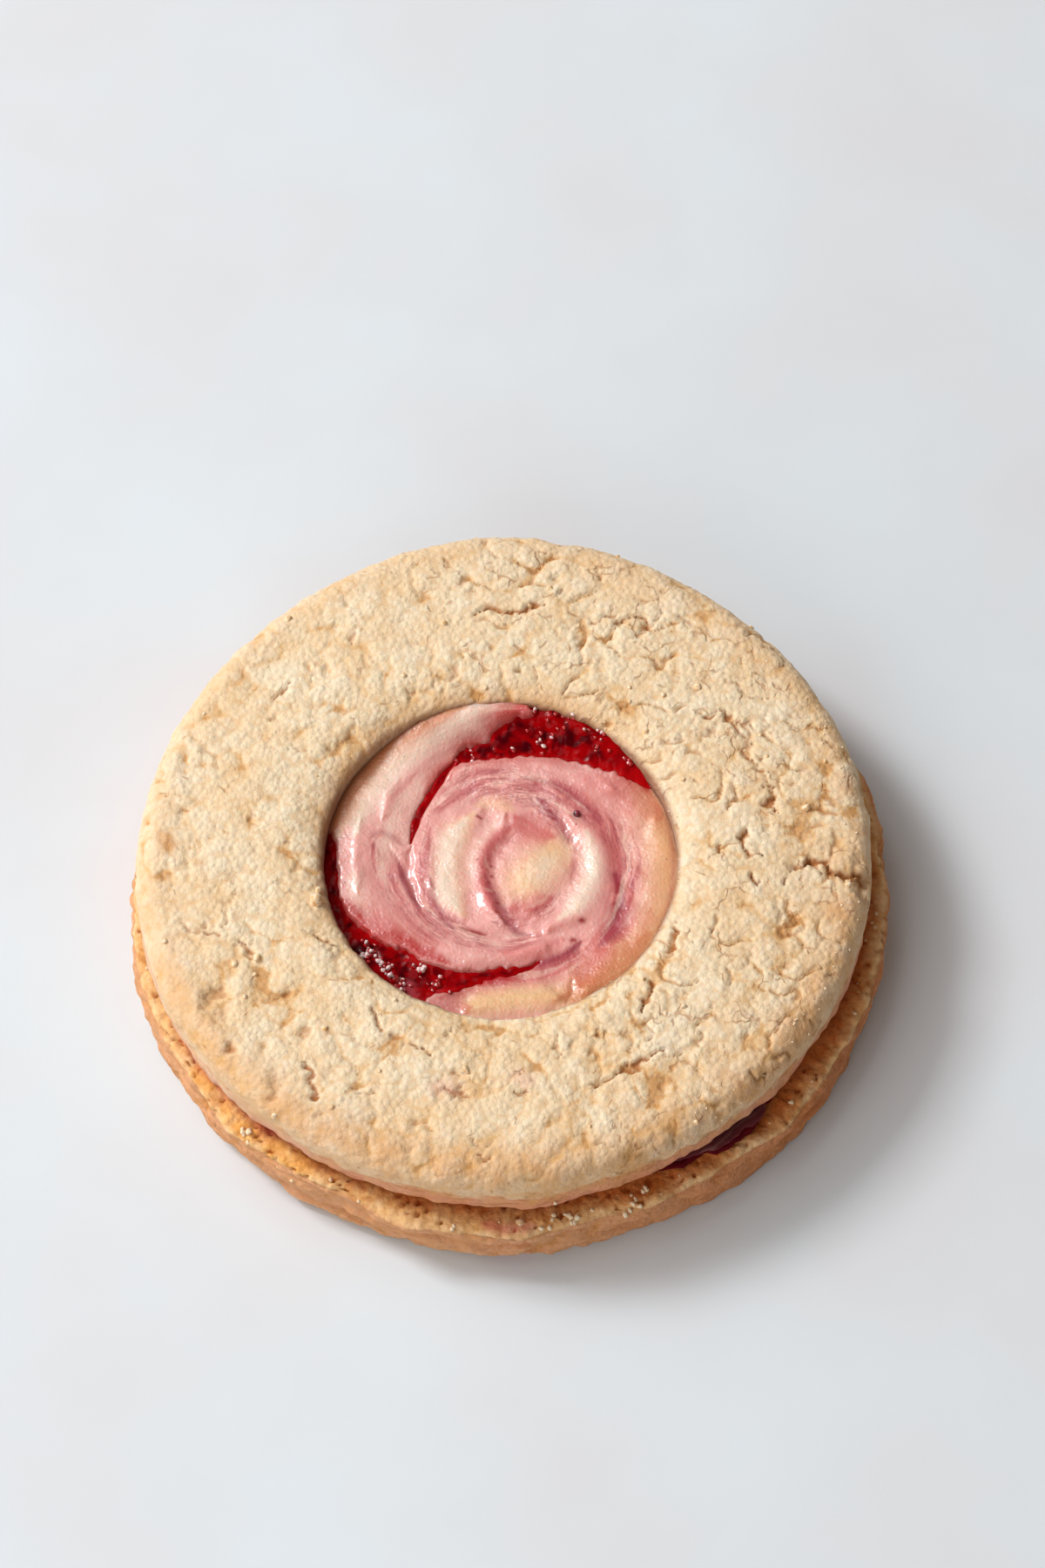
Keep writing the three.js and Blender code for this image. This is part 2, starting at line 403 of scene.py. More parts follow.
class Recipe:
    """The nodes of one finish. Its place is the piece's own coordinates, in millimetres."""

    def __init__(self, name: str) -> None:
        """Starts a material with a principled shader.

        Args:
            name: the material's name.
        """
        self.material = bpy.data.materials.new(name)
        self.material.use_nodes = True
        self.tree = self.material.node_tree
        self.shader = next(n for n in self.tree.nodes if n.type == "BSDF_PRINCIPLED")
        self.place = self.scaled((1.0 / MM,) * 3, self.node("ShaderNodeTexCoord").outputs["Object"])

    def node(self, kind: str, inputs: dict | None = None, **settings: object) -> bpy.types.Node:
        """Adds a node.

        Args:
            kind: the node's type.
            inputs: a value or another node's socket for each input, by name or number.
            settings: the node's own options.

        Returns:
            The new node.
        """
        made = self.tree.nodes.new(kind)
        for option, value in settings.items():
            setattr(made, option, value)
        for key, value in (inputs or {}).items():
            self.feed(made.inputs[key], value)
        return made

    def feed(self, socket: Socket, value: object) -> None:
        """Links a socket, or sets it.

        Args:
            socket: the socket.
            value: another node's socket, a tone or a plain value.
        """
        if isinstance(value, Socket):
            self.tree.links.new(value, socket)
        elif isinstance(value, Tone):
            socket.default_value = (*value.light, 1.0)
        else:
            socket.default_value = value

    def scaled(self, scale: Triple, place: Socket | None = None) -> Socket:
        """A place, with a scale along each axis."""
        return self.node("ShaderNodeMapping", {"Vector": place or self.place, "Scale": scale}).outputs[0]

    def noise(self, size: float, detail: float = 3.0, rough: float = 0.55, place: Socket | None = None,
              distortion: float = 0.0) -> Socket:
        """Soft noise.

        Args:
            size: how large its features are.
            detail: how many finer layers it has.
            rough: how strong these are.
            place: where it is read, if not at the piece's own place.
            distortion: how much it is bent.

        Returns:
            A number of 0 to 1.
        """
        inputs = {"Vector": place or self.place, "Scale": 1.0 / size, "Detail": detail, "Roughness": rough,
                  "Distortion": distortion}
        return self.node("ShaderNodeTexNoise", inputs).outputs[0]

    def cells(self, size: float, feature: str = "F1", place: Socket | None = None) -> Socket:
        """Distance within cells of a size."""
        inputs = {"Vector": place or self.place, "Scale": 1.0 / size}
        return self.node("ShaderNodeTexVoronoi", inputs, feature=feature).outputs["Distance"]

    def vector(self, operation: str, *inputs: object) -> bpy.types.Node:
        """A node of arithmetic on vectors."""
        return self.node("ShaderNodeVectorMath", dict(enumerate(inputs)), operation=operation)

    def moved(self, size: float, amount: float, place: Socket | None = None) -> Socket:
        """A place, shifted about by noise.

        Args:
            size: how large the noise's features are.
            amount: how far it shifts.
            place: the place, if not the piece's own.

        Returns:
            The shifted place.
        """
        shift = self.node("ShaderNodeTexNoise", {"Vector": self.place, "Scale": 1.0 / size}).outputs["Color"]
        centred = self.vector("SUBTRACT", shift, (0.5,) * 3).outputs[0]
        return self.vector("MULTIPLY_ADD", centred, (amount,) * 3, place or self.place).outputs[0]

    def fade(self, value: Socket, low: float, high: float, start: float = 0.0, end: float = 1.0) -> Socket:
        """Turns low to high of a value smoothly into start to end."""
        inputs = {"Value": value, "From Min": low, "From Max": high, "To Min": start, "To Max": end}
        return self.node("ShaderNodeMapRange", inputs, interpolation_type="SMOOTHSTEP").outputs[0]

    def maths(self, operation: str, *numbers: object) -> Socket:
        """A node of arithmetic on numbers."""
        return self.node("ShaderNodeMath", dict(enumerate(numbers)), operation=operation).outputs[0]

    def product(self, first: object, second: object) -> Socket:
        """Two numbers multiplied."""
        return self.maths("MULTIPLY", first, second)

    def blend(self, share: Socket, first: object, second: object) -> Socket:
        """Mixes the second colour over the first by a share."""
        return self.node("ShaderNodeMix", {0: share, 6: first, 7: second}, data_type="RGBA").outputs[2]

    def layered(self, colour: Socket, layers: Iterable[tuple[Socket, Tone]]) -> Socket:
        """Lays tones over a colour.

        Args:
            colour: the colour.
            layers: the share and the tone of each layer, from the lowest up.

        Returns:
            The colour of them all.
        """
        for share, tone in layers:
            colour = self.blend(share, colour, tone)
        return colour

    def painted(self, name: str) -> Socket:
        """A number that the piece's vertices carry."""
        return self.node("ShaderNodeAttribute", attribute_name=name).outputs["Fac"]

    def tinted(self, name: str) -> Socket:
        """A colour that the piece's vertices carry."""
        return self.node("ShaderNodeAttribute", attribute_name=name).outputs["Color"]

    def relief(self, *heights: tuple[Socket, float]) -> Socket:
        """Fine relief, as a normal.

        Args:
            heights: numbers of 0 to 1, each with the depth that it stands for, from the first to the topmost.

        Returns:
            The normal of them all.
        """
        normal = None
        for height, depth in heights:
            bump = self.node("ShaderNodeBump", {"Height": height, "Distance": depth * MM, "Strength": 1.0})
            if normal:
                self.feed(bump.inputs["Normal"], normal)
            normal = bump.outputs[0]
        return normal

    def finish(self, inputs: dict, glow: float = 0.0, reach: Triple = (1.0, 1.0, 1.0)) -> Material:
        """Feeds the shader.

        Args:
            inputs: a value or another node's socket for each of the shader's inputs.
            glow: how much light spreads under the surface.
            reach: how far it spreads, in millimetres for red, green and blue.

        Returns:
            The finished material.
        """
        under = {"Subsurface Weight": glow, "Subsurface Radius": reach, "Subsurface Scale": MM}
        for name, value in {**inputs, **under}.items():
            self.feed(self.shader.inputs[name], value)
        return self.material


@dataclass(frozen=True)
class Shortbread:
    """Dry, crumbly, pale biscuit with golden hollows.

    Vertices carry crevice, crack, dry, smooth, toast_and_shade, brown_and_shade, stain and soaked. The
    crevice value paints hollows golden and darker as painted shade, partly baked colour, and crests paler as
    a painted highlight.
    """

    name: str = "shortbread"
    high: Tone = Tone.PALE_CRUMB
    body: Tone = Tone.STRAW
    deep: Tone = Tone.GOLDEN
    scorched: Tone = Tone.BROWNED
    toasted: Tone = Tone.TOASTED
    side: Tone = Tone.WALL

    def cracks(self, recipe: Recipe) -> Socket:
        """Hair cracks.

        Args:
            recipe: the material's nodes.

        Returns:
            A number that is 1 in a crack and 0 elsewhere.
        """
        bent = recipe.moved(1.7, 1.6, recipe.moved(0.35, 0.30))
        edges = recipe.cells(3.4, "DISTANCE_TO_EDGE", bent)
        where = recipe.maths("ADD", recipe.noise(2.1, 2.0), recipe.product(recipe.painted("dry"), 0.10))
        line = recipe.product(recipe.fade(edges, 0.040, 0.008), recipe.fade(where, 0.60, 0.72))
        return recipe.product(line, recipe.maths("SUBTRACT", 1.0, recipe.painted("smooth")))

    def material(self) -> Material:
        """Puts the finish together.

        Returns:
            The finish as a material.
        """
        recipe = Recipe(self.name)
        smooth = recipe.painted("smooth")
        hollow = recipe.painted("crevice")
        fine = recipe.noise(0.17, 3.0, 0.7)
        grain = recipe.noise(0.36, 2.0, 0.6)
        mottle = recipe.noise(1.6, 3.0, 0.6)
        lumps = recipe.cells(0.62, place=recipe.moved(0.5, 0.22))
        strata = recipe.noise(0.62, 3.0, 0.6, recipe.scaled((0.16, 0.16, 1.0)))
        line = self.cracks(recipe)
        patches = recipe.fade(recipe.noise(5.0, 2.0, 0.5), 0.25, 0.75, 0.25, 0.95)
        toast_and_shade = recipe.product(recipe.painted("toast_and_shade"), recipe.fade(mottle, 0.25, 0.6, 0.60, 1.0))
        golden = recipe.product(recipe.fade(hollow, 0.0, 0.95), recipe.fade(grain, 0.3, 0.6, 0.45, 0.80))
        colour = recipe.layered(recipe.blend(patches, self.body, self.high), (
            # painted highlight: crests, where crevice is below 0, are painted paler in the flour tone
            (recipe.fade(hollow, -0.05, -0.90, 0.0, 0.40), Tone.FLOUR),
            # the side tone colours the outer wall; on the upper biscuit its share is raised on the front and
            # right as painted shade
            (recipe.fade(smooth, 0.1, 0.9, 0.0, 0.72), self.side),
            # the toasted tone is partly baked colour and partly painted shade on the upper biscuit's slope
            # into the window
            (toast_and_shade, self.toasted),
            (recipe.fade(mottle, 0.50, 0.72, 0.0, 0.12), self.deep),
            (recipe.fade(grain, 0.52, 0.72, 0.0, 0.10), self.deep),
            # painted shade: golden where the fine cell lumps' bump sinks towards their edges
            (recipe.fade(lumps, 0.55, 0.90, 0.0, 0.34), self.deep),
            (recipe.fade(fine, 0.44, 0.24, 0.0, 0.15), Tone.SUGAR),
            (recipe.product(recipe.fade(strata, 0.54, 0.70, 0.0, 0.50), smooth), Tone.CRACK),
            # painted shade, partly baked colour: hollows are painted golden, and the deepest ones darker
            # still
            (golden, self.deep),
            (recipe.fade(hollow, 0.55, 1.0, 0.0, 0.36), Tone.CRACK),
            (recipe.product(line, 0.45), Tone.CRACK),
            (recipe.fade(recipe.painted("crack"), 0.1, 0.95, 0.0, 0.88), Tone.CRACK),
            # the scorched tone is browning and painted shade by the gap, and painted shade on the window's
            # wall and the lower biscuit's right side
            (recipe.painted("brown_and_shade"), self.scorched),
            (recipe.painted("stain"), Tone.ROSE),
            (recipe.painted("soaked"), Tone.JAM_DARK),
        ))
        relief = recipe.relief(
            (grain, 0.04),
            (recipe.fade(lumps, 0.80, 0.0), 0.09),
            (recipe.product(strata, smooth), 0.35),
            (recipe.maths("SUBTRACT", fine, recipe.product(line, 0.8)), 0.08),
        )
        return recipe.finish({
            "Base Color": colour, "Normal": relief, "Roughness": recipe.fade(fine, 0.3, 0.7, 0.66, 0.95),
            "Specular IOR Level": 0.3,
        }, 0.20, (0.8, 0.46, 0.22))


@dataclass(frozen=True)
class SwirledCream:
    """Berry cream: a painted tone, with thin streaks that wind round the swirl.

    Vertices carry tone, streaks, bleed and edge.
    """

    name: str = "berry_cream"
    centre: Point = SWIRL_CENTRE
    drift: float = 2.7

    def winding(self, recipe: Recipe, side: float) -> Socket:
        """Coordinates that run along and across the swirl's streaks.

        Args:
            recipe: the material's nodes.
            side: 1 where their seam lies left of the swirl's centre, and -1 where it lies right of it.

        Returns:
            A vector whose first part grows across the streaks, from one to the next.
        """
        x, y = self.centre
        shift = (-side * x, -side * y, 0.0)
        turned = recipe.vector("MULTIPLY_ADD", recipe.moved(3.2, 1.3), (side, side, 1.0), shift)
        parts = recipe.node("ShaderNodeSeparateXYZ", {0: turned.outputs[0]}).outputs
        angle = recipe.maths("ARCTAN2", parts[1], parts[0])
        flat = recipe.node("ShaderNodeCombineXYZ", {0: parts[0], 1: parts[1]}).outputs[0]
        radius = recipe.vector("LENGTH", flat).outputs["Value"]
        across = recipe.maths("ADD", radius, recipe.product(angle, self.drift / math.tau))
        along = [recipe.product(recipe.maths(part, angle), 1.1) for part in ("COSINE", "SINE")]
        return recipe.node("ShaderNodeCombineXYZ", {0: across, 1: along[0], 2: along[1]}).outputs[0]

    def material(self) -> Material:
        """Puts the finish together.

        Returns:
            The finish as a material.
        """
        recipe = Recipe(self.name)
        front = self.winding(recipe, 1.0)
        back = self.winding(recipe, -1.0)
        sideways = recipe.node("ShaderNodeSeparateXYZ", {0: recipe.place}).outputs[0]
        facing = recipe.fade(sideways, self.centre[0] - 2.0, self.centre[0] + 2.0)

        def streaks(size: float) -> Socket:
            """Noise drawn out along the swirl, from 0 to 1."""
            sides = {2: recipe.noise(size, 2.0, 0.6, back), 3: recipe.noise(size, 2.0, 0.6, front)}
            return recipe.node("ShaderNodeMix", {0: facing, **sides}).outputs[0]

        def lines(height: Socket, width: float) -> Socket:
            """Thin lines where a noise passes its middle."""
            away = recipe.maths("ABSOLUTE", recipe.maths("SUBTRACT", height, 0.5))
            return recipe.fade(away, width, 0.2 * width)

        broad, middle, thin = streaks(1.5), streaks(0.75), streaks(0.36)
        streaked = recipe.painted("streaks")
        edge = recipe.painted("edge")
        some = recipe.fade(streaked, 0.0, 0.6, 0.2, 1.0)
        hair = recipe.maths("MAXIMUM", lines(thin, 0.05), recipe.product(lines(middle, 0.022), 0.8))
        hair = recipe.product(recipe.product(hair, streaked), recipe.fade(recipe.noise(2.2, 2.0), 0.30, 0.62))
        spotty = recipe.fade(recipe.noise(3.0, 1.0), 0.45, 0.6, 0.0, 0.75)
        colour = recipe.layered(recipe.tinted("tone"), (
            (recipe.product(recipe.fade(broad, 0.52, 0.70, 0.0, 0.34), some), Tone.ROSE),
            (recipe.product(recipe.fade(middle, 0.50, 0.30, 0.0, 0.45), some), Tone.IVORY),
            (recipe.product(recipe.fade(middle, 0.46, 0.66, 0.0, 0.60), streaked), Tone.CLOUD),
            (recipe.product(hair, 0.56), Tone.MAUVE),
            (recipe.product(recipe.painted("bleed"), recipe.fade(middle, 0.25, 0.6, 0.6, 1.0)), Tone.RED),
            (recipe.product(recipe.fade(recipe.cells(1.7), 0.075, 0.03), spotty), Tone.MAUVE),
        ))
        beads = recipe.fade(recipe.cells(0.38, place=recipe.moved(0.8, 0.25)), 0.6, 0.1)
        relief = recipe.relief((beads, 0.028), (middle, 0.035), (recipe.noise(0.6, 1.0), 0.05))
        return recipe.finish({
            "Base Color": colour, "Normal": relief, "Roughness": recipe.fade(edge, 0.0, 1.0, 0.30, 0.90),
            "Coat Weight": recipe.fade(edge, 1.0, 0.0, 0.0, 0.75), "Coat Roughness": 0.08,
        }, 0.7, (1.5, 0.6, 0.45))


@dataclass(frozen=True)
class BerryJam:
    """Glossy jam, bright where it is thin and almost black where it is deep.

    Vertices carry depth, edge and milky.
    """

    name: str = "berry_jam"

    def material(self) -> Material:
        """Puts the finish together.

        Returns:
            The finish as a material.
        """
        recipe = Recipe(self.name)
        deep = recipe.painted("depth")
        edge = recipe.painted("edge")
        pulp = recipe.noise(1.9, 2.5, 0.55, distortion=0.5)
        colour = recipe.layered(recipe.blend(deep, Tone.JAM_THIN, Tone.JAM), (
            (recipe.product(recipe.fade(pulp, 0.41, 0.65, 0.0, 0.90), deep), Tone.JAM_DARK),
            # painted shade: the jam layer between the biscuits is darkened to purple, as it lies in the gap's
            # shade
            (recipe.product(edge, 0.95), Tone.PURPLE),
            (recipe.painted("milky"), Tone.CLOUD),
        ))
        relief = recipe.relief((recipe.noise(1.5, 1.0, 0.5), 0.18), (recipe.noise(0.5, 1.0), 0.035))
        return recipe.finish({
            "Base Color": colour, "Normal": relief, "Roughness": recipe.fade(edge, 0.0, 1.0, 0.08, 0.80),
            "Specular IOR Level": 0.07,
        }, 0.5, (1.2, 0.08, 0.08))


@dataclass(frozen=True)
class PlainFinish:
    """A small thing's finish: one tone that varies a little towards another, with a roughness and a coat."""

    name: str
    tone: Tone
    shade: Tone
    roughness: float
    coat: float = 0.0

    def material(self) -> Material:
        """Puts the finish together.

        Returns:
            The finish as a material.
        """
        recipe = Recipe(self.name)
        return recipe.finish({
            "Base Color": recipe.blend(recipe.fade(recipe.noise(0.3, 3.0), 0.35, 0.7), self.tone, self.shade),
            "Normal": recipe.relief((recipe.noise(0.2, 2.0), 0.02)),
            "Roughness": self.roughness, "Coat Weight": self.coat, "Coat Roughness": 0.05,
        })


# ---- Meshes ----


def lathe(profile: Sequence[Point], closed: bool = False) -> Form:
    """Turns a profile about the Z axis.

    A slice is spun, and it is then doubled round until the turn is full, which takes far less time than one
    long spin.

    Args:
        profile: radius and height of each point.
        closed: True where the profile comes back to its start, False where it starts and ends on the axis.

    Returns:
        The turned form, with its faces outwards.
    """
    doublings = 4
    slices = 2**doublings
    form = bmesh.new()
    ring = [form.verts.new((radius, 0.0, height)) for radius, height in profile]
    links = [form.edges.new(pair) for pair in zip(ring, ring[1:])]
    if closed:
        links.append(form.edges.new((ring[-1], ring[0])))
    bmesh.ops.spin(form, geom=ring + links, cent=(0, 0, 0), axis=(0, 0, 1), dvec=(0, 0, 0),
                   angle=math.tau / slices, steps=TURNS // slices, use_merge=False, use_duplicate=False)
    for i in range(doublings):
        everything = form.verts[:] + form.edges[:] + form.faces[:]
        copied = bmesh.ops.duplicate(form, geom=everything)["geom"]
        copied_verts = [item for item in copied if isinstance(item, bmesh.types.BMVert)]
        turn = Matrix.Rotation(math.tau / slices * 2**i, 3, "Z")
        bmesh.ops.rotate(form, verts=copied_verts, cent=(0, 0, 0), matrix=turn)
    bmesh.ops.remove_doubles(form, verts=form.verts, dist=1e-4)
    bmesh.ops.recalc_face_normals(form, faces=form.faces)
    return form


def arc(centre: Point, radius: float, start: float, end: float, steps: int) -> list[Point]:
    """Points of a round stretch of a profile, from one angle in degrees to another, both included."""
    angles = np.radians(np.linspace(start, end, steps + 1))
    return [(centre[0] + radius * math.cos(a), centre[1] + radius * math.sin(a)) for a in angles]


def run(start: Point, end: Point, spacing: float) -> list[Point]:
    """Evenly spaced points between two points of a profile, both left out."""
    count = max(1, round(math.dist(start, end) / spacing))
    return [tuple(np.add(start, np.subtract(end, start) * i / count)) for i in range(1, count)]


class Piece:
    """A mesh in the making, in millimetres, which becomes one named object."""

    def __init__(self, form: Form, name: str) -> None:
        """Takes over a form as a mesh.

        Args:
            form: the form.
            name: the piece's name.
        """
        self.name = name
        self.mesh = bpy.data.meshes.new(name)
        form.to_mesh(self.mesh)
        form.free()

    def read(self, items: bpy.types.bpy_prop_collection, name: str) -> Numbers:
        """Reads one vector for each vertex.

        Args:
            items: what holds the vectors.
            name: their name there.

        Returns:
            The vectors, one row each.
        """
        flat = np.empty(len(self.mesh.vertices) * 3)
        items.foreach_get(name, flat)
        return flat.reshape(-1, 3)

    @property
    def points(self) -> Numbers:
        """Where the vertices are."""
        return self.read(self.mesh.vertices, "co")

    @points.setter
    def points(self, places: Numbers) -> None:
        """Moves the vertices."""
        self.mesh.vertices.foreach_set("co", places.ravel())
        self.mesh.update()

    @property
    def normals(self) -> Numbers:
        """Which way the surface faces at the vertices."""
        return self.read(self.mesh.vertex_normals, "vector")

    def carry(self, name: str, values: Numbers) -> None:
        """Lets the vertices carry a value.

        Args:
            name: the value's name.
            values: a number for each vertex, or a row with a colour for each.
        """
        if values.ndim == 2:
            layer = self.mesh.attributes.new(name, "FLOAT_COLOR", "POINT")
            full = np.concatenate([values, np.ones((len(values), 1))], axis=1)
            layer.data.foreach_set("color", full.ravel().astype(np.float32))
        else:
            layer = self.mesh.attributes.new(name, "FLOAT", "POINT")
            layer.data.foreach_set("value", values.astype(np.float32))

    def finish(self, material: Material, slot: str, replaced: str = "") -> Thing:
        """Makes the object, dresses it and puts it on the frame.

        Args:
            material: its finish.
            slot: its material slot; not used.
            replaced: the CAD node that it stands for, if it does.

        Returns:
            The object.
        """
        self.points = self.points * MM
        self.mesh.shade_smooth()
        made = bpy.data.objects.new(self.name, self.mesh)
        bpy.context.scene.collection.objects.link(made)
        made.data.materials.append(material)
        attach(made, "root")
        if replaced:
            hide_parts(replaced)
        self.mesh.calc_loop_triangles()
        LOG.info("%s: %d triangles", self.name, len(self.mesh.loop_triangles))
        return made


def joined(forms: Iterable[Form]) -> Form:
    """Puts several forms into one.

    Args:
        forms: the forms, which it takes over.

    Returns:
        The whole.
    """
    whole = bmesh.new()
    for form in forms:
        carrier = bpy.data.meshes.new("carrier")
        form.to_mesh(carrier)
        form.free()
        whole.from_mesh(carrier)
        bpy.data.meshes.remove(carrier)
    return whole


def bedded(half_side: float, spacing: float, keep: Callable[[Numbers], Numbers]) -> Form:
    """A flat slab cut from an even grid. Its face is at height 0 and its underside at height -1.

    Args:
        half_side: half the grid's side.
        spacing: the grid's fineness.
        keep: tells for places in plan whether the slab goes there.

    Returns:
        The closed slab.
    """
    form = bmesh.new()
    cells = round(2.0 * half_side / spacing)
    bmesh.ops.create_grid(form, x_segments=cells, y_segments=cells, size=half_side)
    kept = keep(np.array([face.calc_center_median()[:2] for face in form.faces]))
    gone = [face for face, stays in zip(form.faces, kept) if not stays]
    bmesh.ops.delete(form, geom=gone, context="FACES")
    rim = [edge for edge in form.edges if edge.is_boundary]
    wall = bmesh.ops.extrude_edge_only(form, edges=rim)["geom"]
    low = [item for item in wall if isinstance(item, bmesh.types.BMVert)]
    bmesh.ops.translate(form, verts=low, vec=(0.0, 0.0, -1.0))
    hem = [item for item in wall if isinstance(item, bmesh.types.BMEdge) and item.is_boundary]
    bmesh.ops.holes_fill(form, edges=hem, sides=0)
    bmesh.ops.recalc_face_normals(form, faces=form.faces)
    return form


# ---- Biscuits ----


@dataclass(frozen=True)
class Crumble:
    """The puffy, crumbly surface of baked shortbread.

    Its swells, clumps, crumbs and lumps each have a height and a size.
    """

    swell: float = 0.15
    swell_size: float = 6.5
    clump: float = 0.32
    clump_size: float = 3.8
    crumb: float = 0.44
    crumb_size: float = 2.3
    lump: float = 0.22
    lump_size: float = 1.15
    seed: int = 3

    def relief(self, places: Numbers) -> tuple[Numbers, Numbers, Numbers]:
        """Works out the surface.

        Args:
            places: points on the smooth form, one row each.

        Returns:
            How far each point moves outwards, how deep in a hollow it is, from -1 on a crest to 1, and how
            near it is to a crease between clumps, from 0 to 1.
        """
        loose = warped(places, 2.6, 0.5, self.seed)
        bent = warped(places, 1.2, 0.20, self.seed + 2)
        rough = 0.55 + 0.45 * ease(waves(places, 6.0, self.seed + 5, 2), -0.4, 0.5)
        clumps = billows(loose, self.clump_size, self.seed + 1, 1)
        crumbs = pebbles(loose, self.crumb_size, self.seed + 2)
        lumps = pebbles(bent, self.lump_size, self.seed + 6)
        height = self.clump * puffed(clumps) + self.crumb * (crumbs - 0.60) + self.lump * (lumps - 0.60)
        hollow = 0.60 * (1.0 - ease(clumps, 0.0, 0.12)) + 0.55 * ease(-crumbs, -0.40, -0.05)
        hollow = (hollow + 0.35 * ease(-lumps, -0.35, -0.05) + 0.22 * ease(-height, 0.10, 0.35)) * rough
        hollow = np.clip(hollow, 0.0, 1.0)
        hollow = hollow - (1.0 - hollow) * ease(height, 0.02, 0.34)
        height = self.swell * waves(places, self.swell_size, self.seed + 4, 2) + rough * height
        return height, hollow, 1.0 - ease(clumps, 0.0, 0.07)


@dataclass(frozen=True)
class Pit:
    """A small hole in a surface: where, how wide and how deep."""

    at: Point
    radius: float
    depth: float


def wandering(chance: random.Random, start: Point, length: float) -> Corners:
    """The corners of a crack that wanders off in a chance direction.

    Args:
        chance: where its chances come from.
        start: where it starts.
        length: how long it is.

    Returns:
        The crack's corners.
    """
    step = 0.8
    bend = 0.7
    heading = chance.uniform(0.0, math.tau)
    corners = [start]
    for _ in range(max(2, round(length / step))):
        heading += chance.gauss(0.0, bend)
        x, y = corners[-1]
        corners.append((x + step * math.cos(heading), y + step * math.sin(heading)))
    return tuple(corners)


